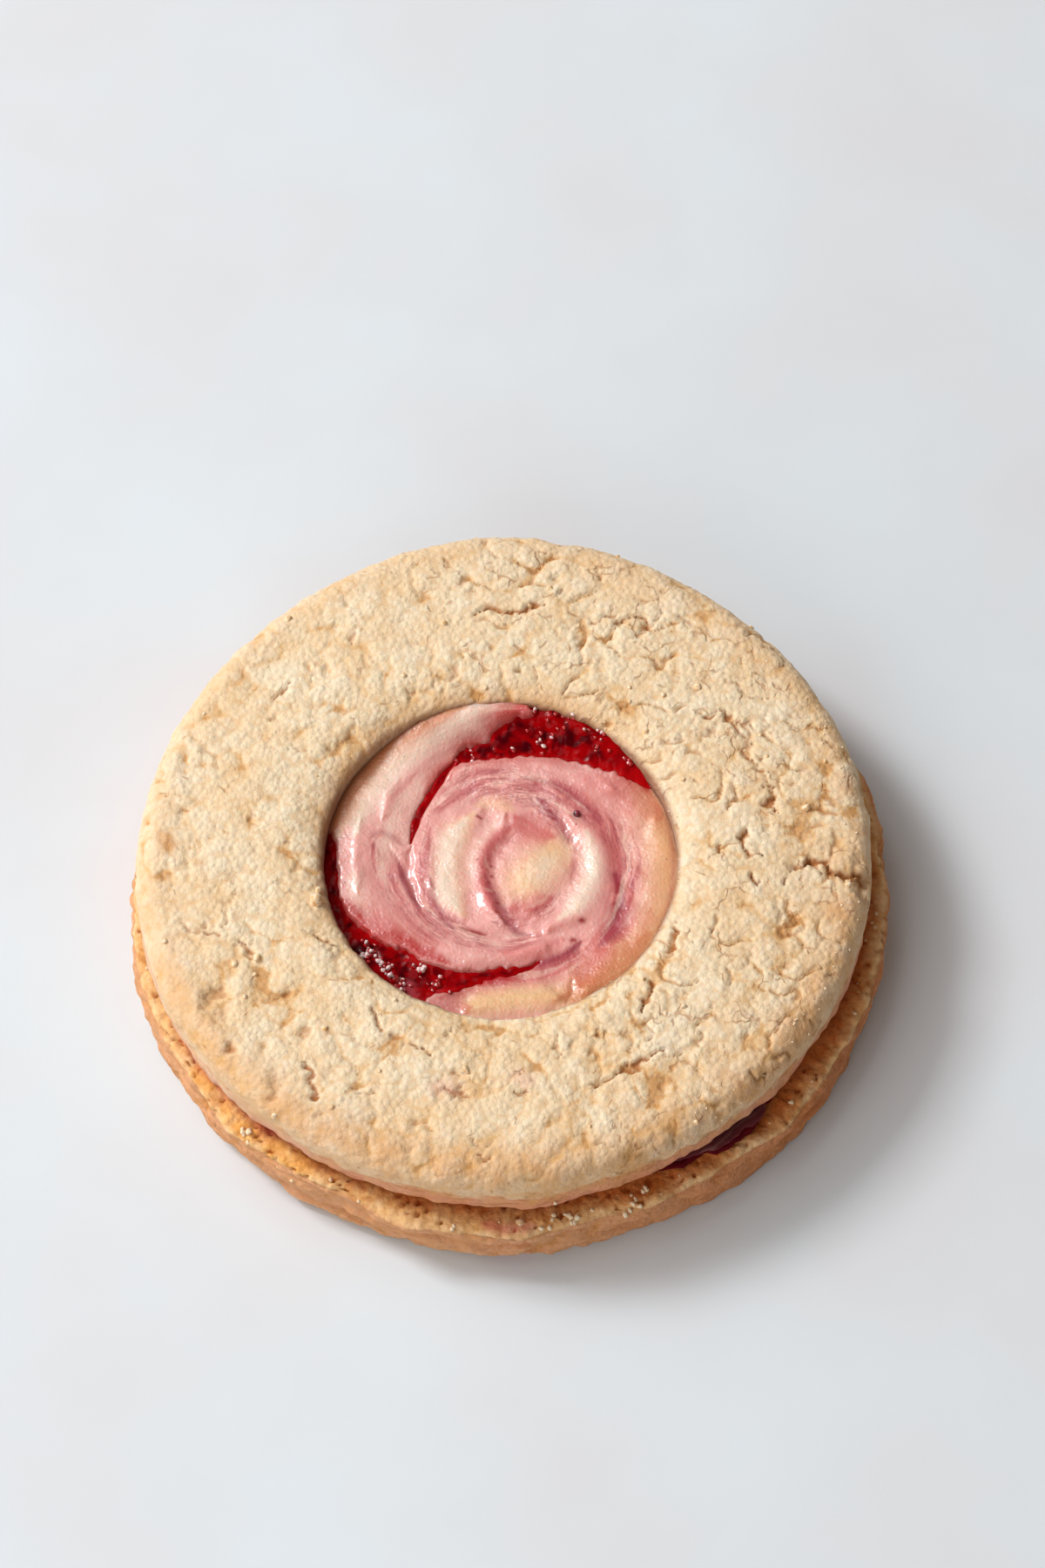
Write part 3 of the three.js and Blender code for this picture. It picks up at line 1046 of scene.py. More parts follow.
@dataclass
class TopBiscuit:
    """The upper biscuit, a ring with a round window, cracked and pitted as it baked."""

    node: str = "top_biscuit"
    radius: float = 34.7
    shoulder: float = 2.3
    foot: float = 0.7
    lip: float = 0.9
    crown: float = 0.35
    dish: float = 0.95
    dish_reach: float = 4.6
    face_drop: float = 0.1
    headroom: float = 0.25
    wall_top: Point = (9.2, 10.3)
    rim_from: float = 30.0
    spacing: float = 0.22
    seed: int = 11
    lobes: tuple[Lobe, ...] = (
        Lobe(1, 0.5, 42), Lobe(2, 0.3, 54), Lobe(3, 0.12, -22), Lobe(4, 0.22, 3), Lobe(6, 0.09, 28),
    )
    window_lobes: tuple[Lobe, ...] = (Lobe(3, 0.12, 23), Lobe(5, 0.08, -11))
    bumps: tuple[Bump, ...] = (
        Bump(-84, 4, 0.26), Bump(-96, 4, -0.13), Bump(-41, 4, 0.17), Bump(-33, 3, -0.19), Bump(-136, 4, 0.13),
        Bump(-125, 4, -0.14), Bump(175, 5, -0.30), Bump(160, 4, 0.25), Bump(51, 3, -0.29), Bump(59, 3, 0.19),
    )
    crumble: Crumble = Crumble()
    cracks: tuple[Stroke, ...] = (
        Stroke(((-3.2, 25.3), (-1.0, 26.3), (1.8, 25.9), (4.5, 27.0)), 0.22, 0.55),
        Stroke(((8.0, 25.4), (9.6, 25.0), (11.2, 26.2)), 0.17, 0.40),
        Stroke(((11.0, 24.6), (13.0, 25.2), (15.0, 24.0)), 0.19, 0.50),
        Stroke(((12.6, 22.6), (14.6, 24.4), (15.8, 26.6)), 0.17, 0.35),
        Stroke(((-22.2, 16.1), (-20.8, 17.2), (-19.5, 17.8)), 0.19, 0.50),
        Stroke(((18.6, 14.6), (20.2, 14.2), (21.6, 14.9), (22.4, 13.0), (24.0, 11.4)), 0.17, 0.50),
        Stroke(((24.0, 11.4), (23.4, 10.0), (24.6, 9.2)), 0.17, 0.50),
        Stroke(((22.4, 13.0), (23.6, 13.4), (24.6, 12.6)), 0.17, 0.40),
        Stroke(((24.6, 9.4), (25.4, 8.2), (26.4, 8.0)), 0.17, 0.40),
        Stroke(((27.2, 9.4), (28.0, 8.6), (29.2, 8.4)), 0.17, 0.35),
        Stroke(((24.8, 6.8), (25.8, 5.2), (25.4, 4.2), (26.6, 3.0)), 0.19, 0.55),
        Stroke(((26.6, 5.8), (25.8, 5.2)), 0.17, 0.40),
        Stroke(((21.8, 7.0), (22.4, 5.4), (21.6, 4.0)), 0.17, 0.40),
        Stroke(((23.8, 2.2), (22.8, 0.9), (23.4, -0.4), (24.4, -1.2)), 0.20, 0.55),
        Stroke(((20.9, 0.4), (20.7, -0.6)), 0.22, 0.55),
        Stroke(((23.8, -2.4), (24.0, -4.4)), 0.23, 0.60),
        Stroke(((16.4, -7.9), (16.2, -9.6), (15.4, -11.2)), 0.30, 0.55),
        Stroke(((14.2, -13.8), (13.8, -15.4), (13.0, -17.2)), 0.30, 0.55),
        Stroke(((8.2, -25.2), (10.8, -23.9), (13.0, -22.7), (15.2, -21.0)), 0.22, 0.50),
        Stroke(((-5.2, -25.2), (-4.0, -25.9), (-2.6, -25.7)), 0.18, 0.40),
        Stroke(((-2.2, -32.0), (-0.8, -32.2)), 0.17, 0.40),
        Stroke(((1.2, -25.5), (2.6, -26.3)), 0.17, 0.40),
        Stroke(((29.0, -1.2), (30.3, -1.7), (31.4, -2.6), (33.0, -2.9), (34.8, -3.2)), 0.29, 0.9, blunt=True),
        Stroke(((27.4, -3.2), (28.0, -1.9), (29.4, -1.3)), 0.22, 0.55),
        Stroke(((26.6, -4.6), (27.3, -3.2)), 0.19, 0.50),
        Stroke(((-17.6, -9.4), (-16.2, -10.0), (-14.8, -10.7)), 0.17, 0.50),
        Stroke(((-11.8, -17.2), (-11.2, -18.6), (-10.6, -20.0)), 0.22, 0.45),
        Stroke(((-17.6, -22.4), (-17.4, -24.6), (-16.6, -26.4)), 0.24, 0.50),
        Stroke(((-8.9, -20.5), (-7.4, -21.1), (-6.0, -21.6)), 0.17, 0.50),
        Stroke(((-24.2, -9.8), (-23.4, -11.0), (-22.6, -12.0)), 0.17, 0.45),
        Stroke(((-27.6, -8.2), (-26.2, -9.8)), 0.17, 0.45),
    )
    chip: Pool = Pool((
        (31.2, -2.5), (32.6, -2.6), (33.6, -3.1), (34.6, -2.4), (37.0, -2.4), (37.0, -5.8), (34.9, -5.5),
        (34.0, -5.3), (33.1, -4.4), (32.2, -3.4),
    ))
    chip_depth: float = 1.0
    pits: tuple[Pit, ...] = (
        Pit((-26.1, -15.2), 0.95, 0.52),
        Pit((-25.6, -17.4), 1.1, 0.32),
        Pit((-26.9, -16.2), 0.9, 0.40),
        Pit((-24.7, -21.0), 0.85, 0.60),
        Pit((-20.4, -24.6), 1.1, 0.35),
        Pit((-20.6, -25.6), 0.7, 0.4),
        Pit((-19.6, -15.6), 0.45, 0.4),
        Pit((23.6, -0.9), 0.45, 0.3),
        Pit((5.8, 28.0), 0.4, 0.35),
    )
    tiny: Point = (17.5, 34.0)
    tiny_cracks: int = 90
    tiny_pits: int = 70
    browned: tuple[Stroke, ...] = (
        Stroke(((-31.6, 1.0), (-31.2, 0.0)), 0.75, 0.9, blunt=True),
        Stroke(((-28.5, -1.8), (-28.0, -1.8)), 0.4, 0.4, blunt=True),
        Stroke(((32.5, 7.2), (32.9, 6.4)), 0.9, 0.45, blunt=True),
        Stroke(((31.4, -6.6), (32.0, -9.4)), 1.1, 0.35, blunt=True),
    )
    stains: tuple[Stroke, ...] = (
        Stroke(((-5.6, -25.2), (-4.4, -25.0)), 0.9, 0.25, blunt=True),
        Stroke(((1.6, -24.0), (2.6, -24.6)), 0.8, 0.22, blunt=True),
    )

    def profile(self, low: float, high: float) -> list[Point]:
        """The ring's section, from the foot of the window's wall outwards and round.

        Args:
            low: height of its underside.
            high: height of its face.

        Returns:
            The section's points, closed on itself.
        """
        lip = WINDOW_RADIUS + self.lip
        rim = self.radius - self.shoulder
        under = [(WINDOW_RADIUS, low), *run((WINDOW_RADIUS, low), (self.radius - self.foot, low), 2.5)]
        foot = arc((self.radius - self.foot, low + self.foot), self.foot, -90, 0, 4)
        shoulder = arc((rim, high - self.shoulder), self.shoulder, 0, 90, 14)
        mouth = arc((lip, high - self.lip), self.lip, 90, 180, 6)
        wall = run(foot[-1], shoulder[0], self.spacing * 1.2)
        face = run(shoulder[-1], mouth[0], self.spacing)
        inner = run(mouth[-1], under[0], self.spacing * 1.4)
        return [*under, *foot, *wall, *shoulder, *face, *mouth, *inner]

    def weather(self, points: Numbers, crease: Numbers) -> tuple[Numbers, Numbers]:
        """Cracks and pits the face.

        Args:
            points: places on the ring.
            crease: how near each is to a crease between clumps.

        Returns:
            How far the face sinks at each place, and how much of a crack or pit it is, from 0 to 1.
        """
        chance = random.Random(self.seed)
        plan = warped(warped(points, 1.3, 0.40, 21), 0.5, 0.12, 25)[:, :2]
        small = []
        for _ in range(self.tiny_cracks):
            path = wandering(chance, around(chance, *self.tiny), chance.uniform(1.0, 3.8))
            small.append(Stroke(path, chance.uniform(0.13, 0.24), chance.uniform(0.12, 0.34)))
        depth = np.maximum(total(plan, self.cracks), strongest(plan, small))
        depth = np.maximum(depth, self.fissures(points, crease))
        sunk = depth.copy()
        torn = warped(points, 0.9, 0.42, 23)[:, :2]
        chance_pits = [
            Pit(around(chance, *self.tiny), chance.uniform(0.18, 0.5), chance.uniform(0.15, 0.4))
            for _ in range(self.tiny_pits)
        ]
        for pit in (*self.pits, *chance_pits):
            distance = np.linalg.norm(torn - pit.at, axis=1)
            sunk = np.maximum(sunk, pit.depth * (1.0 - ease(distance, 0.3 * pit.radius, 1.15 * pit.radius)))
        return sunk, np.clip(np.maximum(depth, 0.60 * sunk) / 0.55, 0.0, 1.0)

    def fissures(self, points: Numbers, crease: Numbers) -> Numbers:
        """Fissures that open along creases, most of them on the drier side.

        Args:
            points: places on the ring.
            crease: how near each is to a crease between clumps.

        Returns:
            How deep the fissures are at each place.
        """
        dry = ease(points[:, 0] + 0.35 * points[:, 1], -6.0, 12.0)
        opened = ease(waves(points, 3.2, 103, 2) + 0.45 * dry, 0.38, 0.80)
        return 0.34 * crease * opened * (0.35 + 0.65 * dry)

    def build(self, finish: Material) -> Thing:
        """Builds the biscuit and dresses it.

        Args:
            finish: its material.

        Returns:
            The piece.
        """
        low, high = ((corner / MM).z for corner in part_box(self.node))
        level = high - self.face_drop
        piece = Piece(lathe(self.profile(low, level), closed=True), "top_biscuit_baked")
        points = piece.points
        radius, angle = polar(points)
        outwards = ease(radius, WINDOW_RADIUS, self.radius)
        inwards = 1.0 - outwards
        skirt = 1.0 - ease(points[:, 2], low + 0.5, low + 3.2)
        ragged = bumped(self.bumps, angle) + 0.15 * waves(points, 1.9, 53, 2) + 0.05 * waves(points, 0.6, 55)
        moved = radius + inwards * lobed(self.window_lobes, angle) + outwards * lobed(self.lobes, angle)
        moved = moved + outwards**8 * skirt * ragged
        points[:, 0] = moved * np.cos(angle) + inwards * WINDOW_CENTRE[0]
        points[:, 1] = moved * np.sin(angle) + inwards * WINDOW_CENTRE[1]
        rise = (points[:, 2] - low) / (level - low)
        sink = self.dish * (1.0 - ease(radius - WINDOW_RADIUS, -1.0, self.dish_reach)) ** 1.5
        points[:, 2] -= rise * (self.crown * outwards**3 + sink)
        piece.points = points
        normals = piece.normals
        upwards = ease(normals[:, 2], -0.05, 0.35)
        outer = ease(radius, self.radius - 1.5, self.radius - 0.4)
        wall = outer * (1.0 - ease(points[:, 2] + 0.55 * waves(points, 2.2, 29, 3), *self.wall_top))
        height, crevice, crease = self.crumble.relief(points)
        rough = np.where(outer > 0.0, 1.0 - 0.50 * wall, 0.42 + 0.58 * upwards)
        hidden = ease(-normals[:, 2], 0.3, 0.8)
        sunk, cracked = self.weather(points, crease)
        sunk = np.maximum(sunk, self.chip_depth * ease(self.chip.inside(points[:, :2]), -0.2, 0.35))
        right = ease(points[:, 0] / radius, 0.1, 0.9)
        far = ease(points[:, 1] / radius, 0.4, 0.9)
        calm = 0.68 - 0.15 * right - 0.06 * far
        travel = calm * rough * height * (1.0 - hidden)
        points = points + normals * (travel - sunk * ease(normals[:, 2], 0.02, 0.3))[:, None]
        points[:, 2] = np.minimum(points[:, 2], high + self.headroom)
        piece.points = points
        self.paint(piece, upwards, wall, crevice, cracked)
        return piece.finish(finish, self.node, self.node)

    def paint(self, piece: Piece, upwards: Numbers, wall: Numbers, crevice: Numbers,
              cracked: Numbers) -> None:
        """Colours the biscuit by where its surface lies.

        Args:
            piece: the ring.
            upwards: how much each vertex faces up.
            wall: how much it belongs to the outer wall.
            crevice: how deep in a crevice it is.
            cracked: how deep in a crack or pit it is.
        """
        points = piece.points
        plan = points[:, :2]
        height = points[:, 2]
        distance, bearing = polar(plan)
        from_middle = from_window(plan)
        past_window = from_middle - WINDOW_RADIUS
        inner = 1.0 - ease(past_window, -0.2, 0.6)
        near = 0.3 + 0.7 * ease(-np.sin(bearing), -0.2, 0.8)
        baked = ease(distance, 25.0, 34.5) * (0.55 + 0.45 * np.cos(bearing + 1.0))
        baked = 0.30 * baked * ease(waves(points, 3.2, 47, 2), -0.5, 0.6)
        baked = baked + 0.42 * near * ease(distance, 29.5, 34.0) * ease(height, 8.8, 9.8)
        # painted shade: the slope into the window on its far and left side is painted with the toasted tone
        shaded = 0.45 * (1.0 - ease(past_window, 0.4, 2.6)) * ease(np.cos(bearing - 2.0), 0.0, 0.8)
        edge = (1.0 - ease(height, 7.4, 9.0)) * (from_middle > self.rim_from)
        edge = edge * ease(waves(points, 3.0, 49, 2), -0.5, 0.4)
        carried = {
            "crevice": crevice * (0.2 + 0.8 * upwards),
            "crack": cracked * upwards,
            # painted shade: the wall's side tone is stronger towards the front and right, away from the light
            "smooth": wall * (0.50 + 0.50 * ease(0.6 * np.cos(bearing) - np.sin(bearing), 0.3, 1.0)),
            "dry": ease(plan[:, 0] + 0.25 * plan[:, 1], -12.0, 14.0),
            "toast_and_shade": np.clip(total(plan, self.browned) * upwards + baked + shaded * upwards, 0.0, 0.85),
            # painted shade: the window's inner wall is painted dark with the scorched tone
            "brown_and_shade": inner * 0.88,
            "stain": np.clip(total(plan, self.stains) + 0.30 * edge, 0.0, 1.0),
            "soaked": inner * (1.0 - ease(height, 10.0, 11.2)) * 0.75,
        }
        for name, values in carried.items():
            piece.carry(name, values)


@dataclass
class BottomBiscuit:
    """The lower biscuit, its wide face up. A browned ledge of that shows round the upper biscuit."""

    node: str = "bottom_biscuit"
    radius: float = 36.0
    centre: Point = (0.8, -0.3)
    shoulder: float = 0.7
    foot: float = 1.2
    ledge: float = 31.5
    spacing: float = 0.24
    lobes: tuple[Lobe, ...] = (Lobe(2, 0.1, 14), Lobe(3, 0.1, 7), Lobe(6, 0.18, 25), Lobe(9, 0.12, -10))
    bumps: tuple[Bump, ...] = (
        Bump(-90, 5, 0.50), Bump(-106, 4, 0.38), Bump(-135, 5, 0.38), Bump(-44, 4, 0.45), Bump(-68, 4, 0.36),
        Bump(-52, 4, -0.33), Bump(-77, 4, -0.24), Bump(-115, 4, -0.20), Bump(-20, 4, 0.2), Bump(140, 6, 0.2),
        Bump(60, 5, 0.25), Bump(25, 4, -0.2), Bump(100, 5, -0.2),
    )
    crumble: Crumble = Crumble(swell=0.10, clump=0.30, crumb=0.26, lump=0.16, seed=31)
    yolky: tuple[Stroke, ...] = (
        Stroke(((-25.6, -23.0), (-24.2, -25.0), (-22.6, -27.0)), 0.9, 1.0),
        Stroke(((-28.2, -20.4), (-27.2, -21.6)), 0.6, 0.8, blunt=True),
        Stroke(((-20.6, -28.2), (-18.4, -29.6)), 0.9, 0.7, blunt=True),
    )
    smear: Stroke = Stroke(((-1.6, -35.4), (0.4, -36.0), (3.4, -35.7)), 0.6, 0.55)
    pinkish: Stroke = Stroke(((-30.8, -14.0), (-27.2, -19.4), (-23.4, -24.0), (-18.6, -27.6)), 0.8, 0.5)

    def profile(self, high: float) -> list[Point]:
        """The biscuit's section.

        Args:
            high: height of its face.

        Returns:
            The section's points, from the middle of its underside outwards and up to its face's middle.
        """
        foot = arc((self.radius - self.foot, self.foot), self.foot, -90, 0, 7)
        shoulder = arc((self.radius - self.shoulder, high - self.shoulder), self.shoulder, 0, 90, 6)
        under = [(0.0, 0.0), *run((0.0, 0.0), foot[0], 0.75)]
        wall = run(foot[-1], shoulder[0], self.spacing)
        ledge = [*run(shoulder[-1], (self.ledge, high), self.spacing), (self.ledge, high)]
        face = [*run((self.ledge, high), (0.0, high), 4.0), (0.0, high)]
        return [*under, *foot, *wall, *shoulder, *ledge, *face]

    def build(self, finish: Material) -> Thing:
        """Builds the biscuit and dresses it.

        Args:
            finish: its material.

        Returns:
            The piece.
        """
        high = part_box(self.node)[1].z / MM
        piece = Piece(lathe(self.profile(high)), "bottom_biscuit_baked")
        points = piece.points
        radius, angle = polar(points)
        lip = ease(radius, self.radius - 3.0, self.radius - 0.5) * ease(points[:, 2], 1.0, high - 0.4)
        reach = lobed(self.lobes, angle) * radius / self.radius + lip * bumped(self.bumps, angle)
        points[:, :2] = points[:, :2] * (1.0 + reach / self.radius)[:, None] + self.centre
        piece.points = points
        normals = piece.normals
        height, crevice, _ = self.crumble.relief(points)
        below = ease(-normals[:, 2], 0.5, 0.95)
        above = ease(normals[:, 2], 0.3, 0.8)
        hidden = 1.0 - ease(radius, self.ledge - 1.0, self.ledge + 1.0)
        pores = ease(pebbles(warped(points, 0.8, 0.3, 9), 1.0, 12), 0.84, 0.96)
        hole = pores * ease(waves(points, 2.6, 14), -0.35, 0.2) * above * (1.0 - hidden)
        round_and_out = np.column_stack([0.35 * radius, 40.0 * angle, 0.0 * radius])
        fibre = waves(round_and_out, 0.55, 33, 2) * above * (1.0 - hidden)
        rim = 1.0 + 0.3 * ease(radius, self.radius - 1.6, self.radius)
        travel = height * (1.0 - 0.6 * below) * rim - 0.12 * below
        strata = (1.0 - above) * (1.0 - below) * waves(points * (0.12, 0.12, 1.0), 0.75, 37, 2)
        travel = travel * (1.0 - above * hidden) - 0.45 * hole + 0.34 * strata + 0.15 * fibre
        points = points + normals * travel[:, None]
        points[:, 2] = np.maximum(points[:, 2], 0.0)
        piece.points = points
        self.paint(piece, radius, above, below, crevice, hole)
        return piece.finish(finish, self.node, self.node)

    def paint(self, piece: Piece, radius: Numbers, above: Numbers, below: Numbers, crevice: Numbers,
              hole: Numbers) -> None:
        """Colours the biscuit: browned and darkened by the gap as painted shade, golden on the ledge, paler
        on its rim and wall.

        Args:
            piece: the biscuit.
            radius: each vertex's distance from the middle.
            above: how much it faces up.
            below: how much it faces down.
            crevice: how deep in a crevice it is.
            hole: how deep in a pore it is.
        """
        points = piece.points
        plan = points[:, :2]
        bearing = polar(plan)[1]
        grain = waves(points, 0.6, 43, 2)
        inset = self.radius - radius + 0.45 * waves(points, 2.4, 41, 3) + 0.20 * grain
        ledge = ease(above, 0.0, 0.5) * (0.55 + 0.45 * ease(inset, 0.2, 1.2))
        bright = strongest(plan, self.yolky)
        # browning and painted shade: the ledge darkens towards the gap under the upper biscuit, most towards
        # the front right
        deeper = inset + 0.9 * ease(np.cos(bearing + 0.7), 0.6, 0.95)
        brown_and_shade = above * (0.55 * ease(deeper, 1.0, 1.9) + 0.45 * ease(deeper, 1.9, 2.8)) * (1.0 - 0.8 * bright)
        # painted shade: the wall is darkened on its right, the side away from the light
        away = 0.42 * (1.0 - above) * ease(np.cos(bearing + 0.35), 0.4, 1.0)
        flecks = 0.30 * hole + 0.10 * ledge * ease(grain, 0.1, 0.6)
        carried = {
            "crevice": crevice,
            "crack": np.clip(hole, 0.0, 1.0),
            "smooth": 0.90 * (1.0 - ease(above, 0.0, 0.6)) * (1.0 - below),
            "toast_and_shade": np.clip(0.78 * ledge + bright * above + 0.35 * below, 0.0, 1.0),
            "brown_and_shade": np.clip(away + 0.85 * brown_and_shade + flecks, 0.0, 0.95),
            "stain": np.clip(self.smear.strength(plan) + self.pinkish.strength(plan) * above, 0.0, 1.0),
            "dry": np.zeros(len(points)),
            "soaked": np.zeros(len(points)),
        }
        for name, values in carried.items():
            piece.carry(name, values)


# ---- Filling ----


@dataclass(frozen=True)
class Wells:
    """Where jam stands in the window: an upper crescent with a tail down a groove, and a lower pool."""

    upper: Pool = Pool((
        (-4.6, 10.3), (-2.4, 10.9), (0.1, 11.2), (2.5, 11.4), (4.9, 11.2), (7.3, 10.7), (9.7, 9.9),
        (11.7, 9.1), (13.4, 8.2), (17.6, 7.6), (17.0, 12.0), (12.0, 17.0), (6.0, 19.0), (2.2, 18.4),
        (1.6, 16.8), (3.2, 15.2), (1.6, 14.9), (-0.2, 14.2), (-1.4, 12.8), (-3.6, 12.2),
    ))
    lower: Pool = Pool((
        (-18.6, 3.0), (-16.0, 2.8), (-15.4, -0.6), (-15.1, -4.0), (-14.1, -6.0), (-12.5, -7.7),
        (-10.8, -8.8), (-8.8, -9.6), (-7.1, -10.9), (-4.8, -11.5), (-2.4, -11.7), (0.1, -11.5),
        (2.3, -11.2), (3.7, -10.7), (3.0, -11.3), (1.2, -12.1), (-1.4, -12.6), (-2.8, -13.3),
        (-4.8, -13.8), (-6.3, -14.2), (-7.4, -15.4), (-9.0, -18.0), (-14.0, -15.0), (-18.0, -8.0),
    ))
    tail: Corners = (
        (-3.9, 11.2), (-5.1, 9.8), (-6.1, 8.1), (-7.1, 6.3), (-7.8, 4.8), (-8.2, 3.4), (-8.5, 1.9),
    )
    tail_width: float = 0.32

    def inside(self, plan: Numbers) -> Numbers:
        """Tells where the wells are.

        Args:
            plan: places, one row each.

        Returns:
            How far each place lies inside a well, and less than 0 outside.
        """
        groove = Stroke(self.tail, 1.0).strength(plan)
        away = np.sqrt(np.maximum(-np.log(np.maximum(groove, TINY)), 0.0))
        ragged = warped(plan, 0.9, 0.16, 51)
        pools = np.maximum(self.upper.inside(ragged), self.lower.inside(ragged))
        return np.maximum(pools, self.tail_width - away)


@dataclass(frozen=True)
class Meniscus:
    """Where the filling climbs the window's wall: toward which bearing, from which distance, and how high."""

    bearing: float = 84.0
    near: float = 12.4
    far: float = 16.7
    climb: float = 1.75

    def rise(self, plan: Numbers) -> Numbers:
        """Lifts the filling by the window's wall.

        Args:
            plan: places, one row each.

        Returns:
            How much higher the filling stands at each place.
        """
        distance, angle = polar(plan - WINDOW_CENTRE)
        facing = ease(np.cos(angle - math.radians(self.bearing)), 0.52, 0.97)
        return self.climb * facing * ease(distance, self.near, self.far) ** 1.2


@dataclass(frozen=True)
class Layer:
    """A layer of filling between the biscuits.

    Attributes:
        low: height of its underside.
        high: height of its face.
        inner: how far from the axis it starts.
        seed: makes this layer's rim differ from another's.
        radius: how far from the axis it ends.
        centre: where its own middle is.
        bulges: where its rim comes out of the gap.
    """

    low: float
    high: float
    inner: float
    seed: int
    radius: float = 33.4
    centre: Point = (0.4, -0.2)
    bulges: tuple[Bump, ...] = (Bump(-51, 12, 2.1), Bump(221, 12, 0.9), Bump(-92, 8, 0.5))

    def form(self) -> Form:
        """The layer about the axis, with a rounded rim.

        Returns:
            Its form.
        """
        middle = (self.low + self.high) / 2.0
        nose = arc((self.radius, middle), (self.high - self.low) / 2.0, -90, 90, 6)
        upper = run(nose[-1], (self.inner, self.high), 3.0)
        lower = run((self.inner, self.low), nose[0], 3.0)
        section = [(self.inner, self.low), *lower, *nose, *upper, (self.inner, self.high)]
        return lathe(section, closed=True)

    def spread(self, points: Numbers) -> Numbers:
        """Gives the layer its uneven rim and its place.

        Args:
            points: its points, about the axis.

        Returns:
            The moved points.
        """
        radius, angle = polar(points)
        share = ease(radius, self.radius - 6.0, self.radius)
        reach = 0.35 * waves(points, 3.5, self.seed, 3) + 0.20 * waves(points, 1.1, self.seed + 1, 2) - 1.1
        reach = reach + bumped(self.bulges, angle)
        moved = points.copy()
        moved[:, :2] *= (1.0 + share * reach / np.maximum(radius, 1.0))[:, None]
        moved[:, :2] += self.centre
        return moved


@dataclass
class Filling:
    """A filling: a layer of it between the biscuits, and a slab of it that stands in the window.

    Attributes:
        node: the CAD node that it stands for.
        name: the piece's name.
        layer: the layer.
        level: height of the slab's face, before its relief.
        foot: height of the slab's underside.
        margin: how far the slab runs into the window's wall.
        spacing: the slab's fineness.
        wells: where jam stands in the window.
        meniscus: where the slab climbs the window's wall.
    """

    node: str
    name: str
    layer: Layer
    level: float
    foot: float
    margin: float
    spacing: float
    wells: Wells = Wells()
    meniscus: Meniscus = Meniscus()

    def kept(self, plan: Numbers) -> Numbers:
        """Tells for places in plan whether the slab goes there."""
        return from_window(plan) < WINDOW_RADIUS + self.margin

    def started(self) -> tuple[Piece, Numbers, Numbers]:
        """Starts the piece.

        Returns:
            The piece, and which of its vertices are the slab's face, and which the layer's.
        """
        slab = bedded(WINDOW_RADIUS + self.margin, self.spacing, self.kept)
        piece = Piece(joined([slab, self.layer.form()]), self.name)
        height = piece.points[:, 2]
        return piece, np.abs(height) < 0.5, height > 0.5

    def settle(self, piece: Piece, top: Numbers, ring: Numbers, surface: Numbers) -> None:
        """Gives the slab its face and its underside, and the layer its rim.

        Args:
            piece: the piece.
            top: which of its vertices are the slab's face.
            ring: which of them are the layer's.
            surface: the height of each vertex of the slab's face.
        """
        points = piece.points
        points[top, 2] = surface
        points[~(top | ring), 2] = self.foot
        points[ring] = self.layer.spread(points[ring])
        piece.points = points
        piece.carry("edge", ring.astype(float))


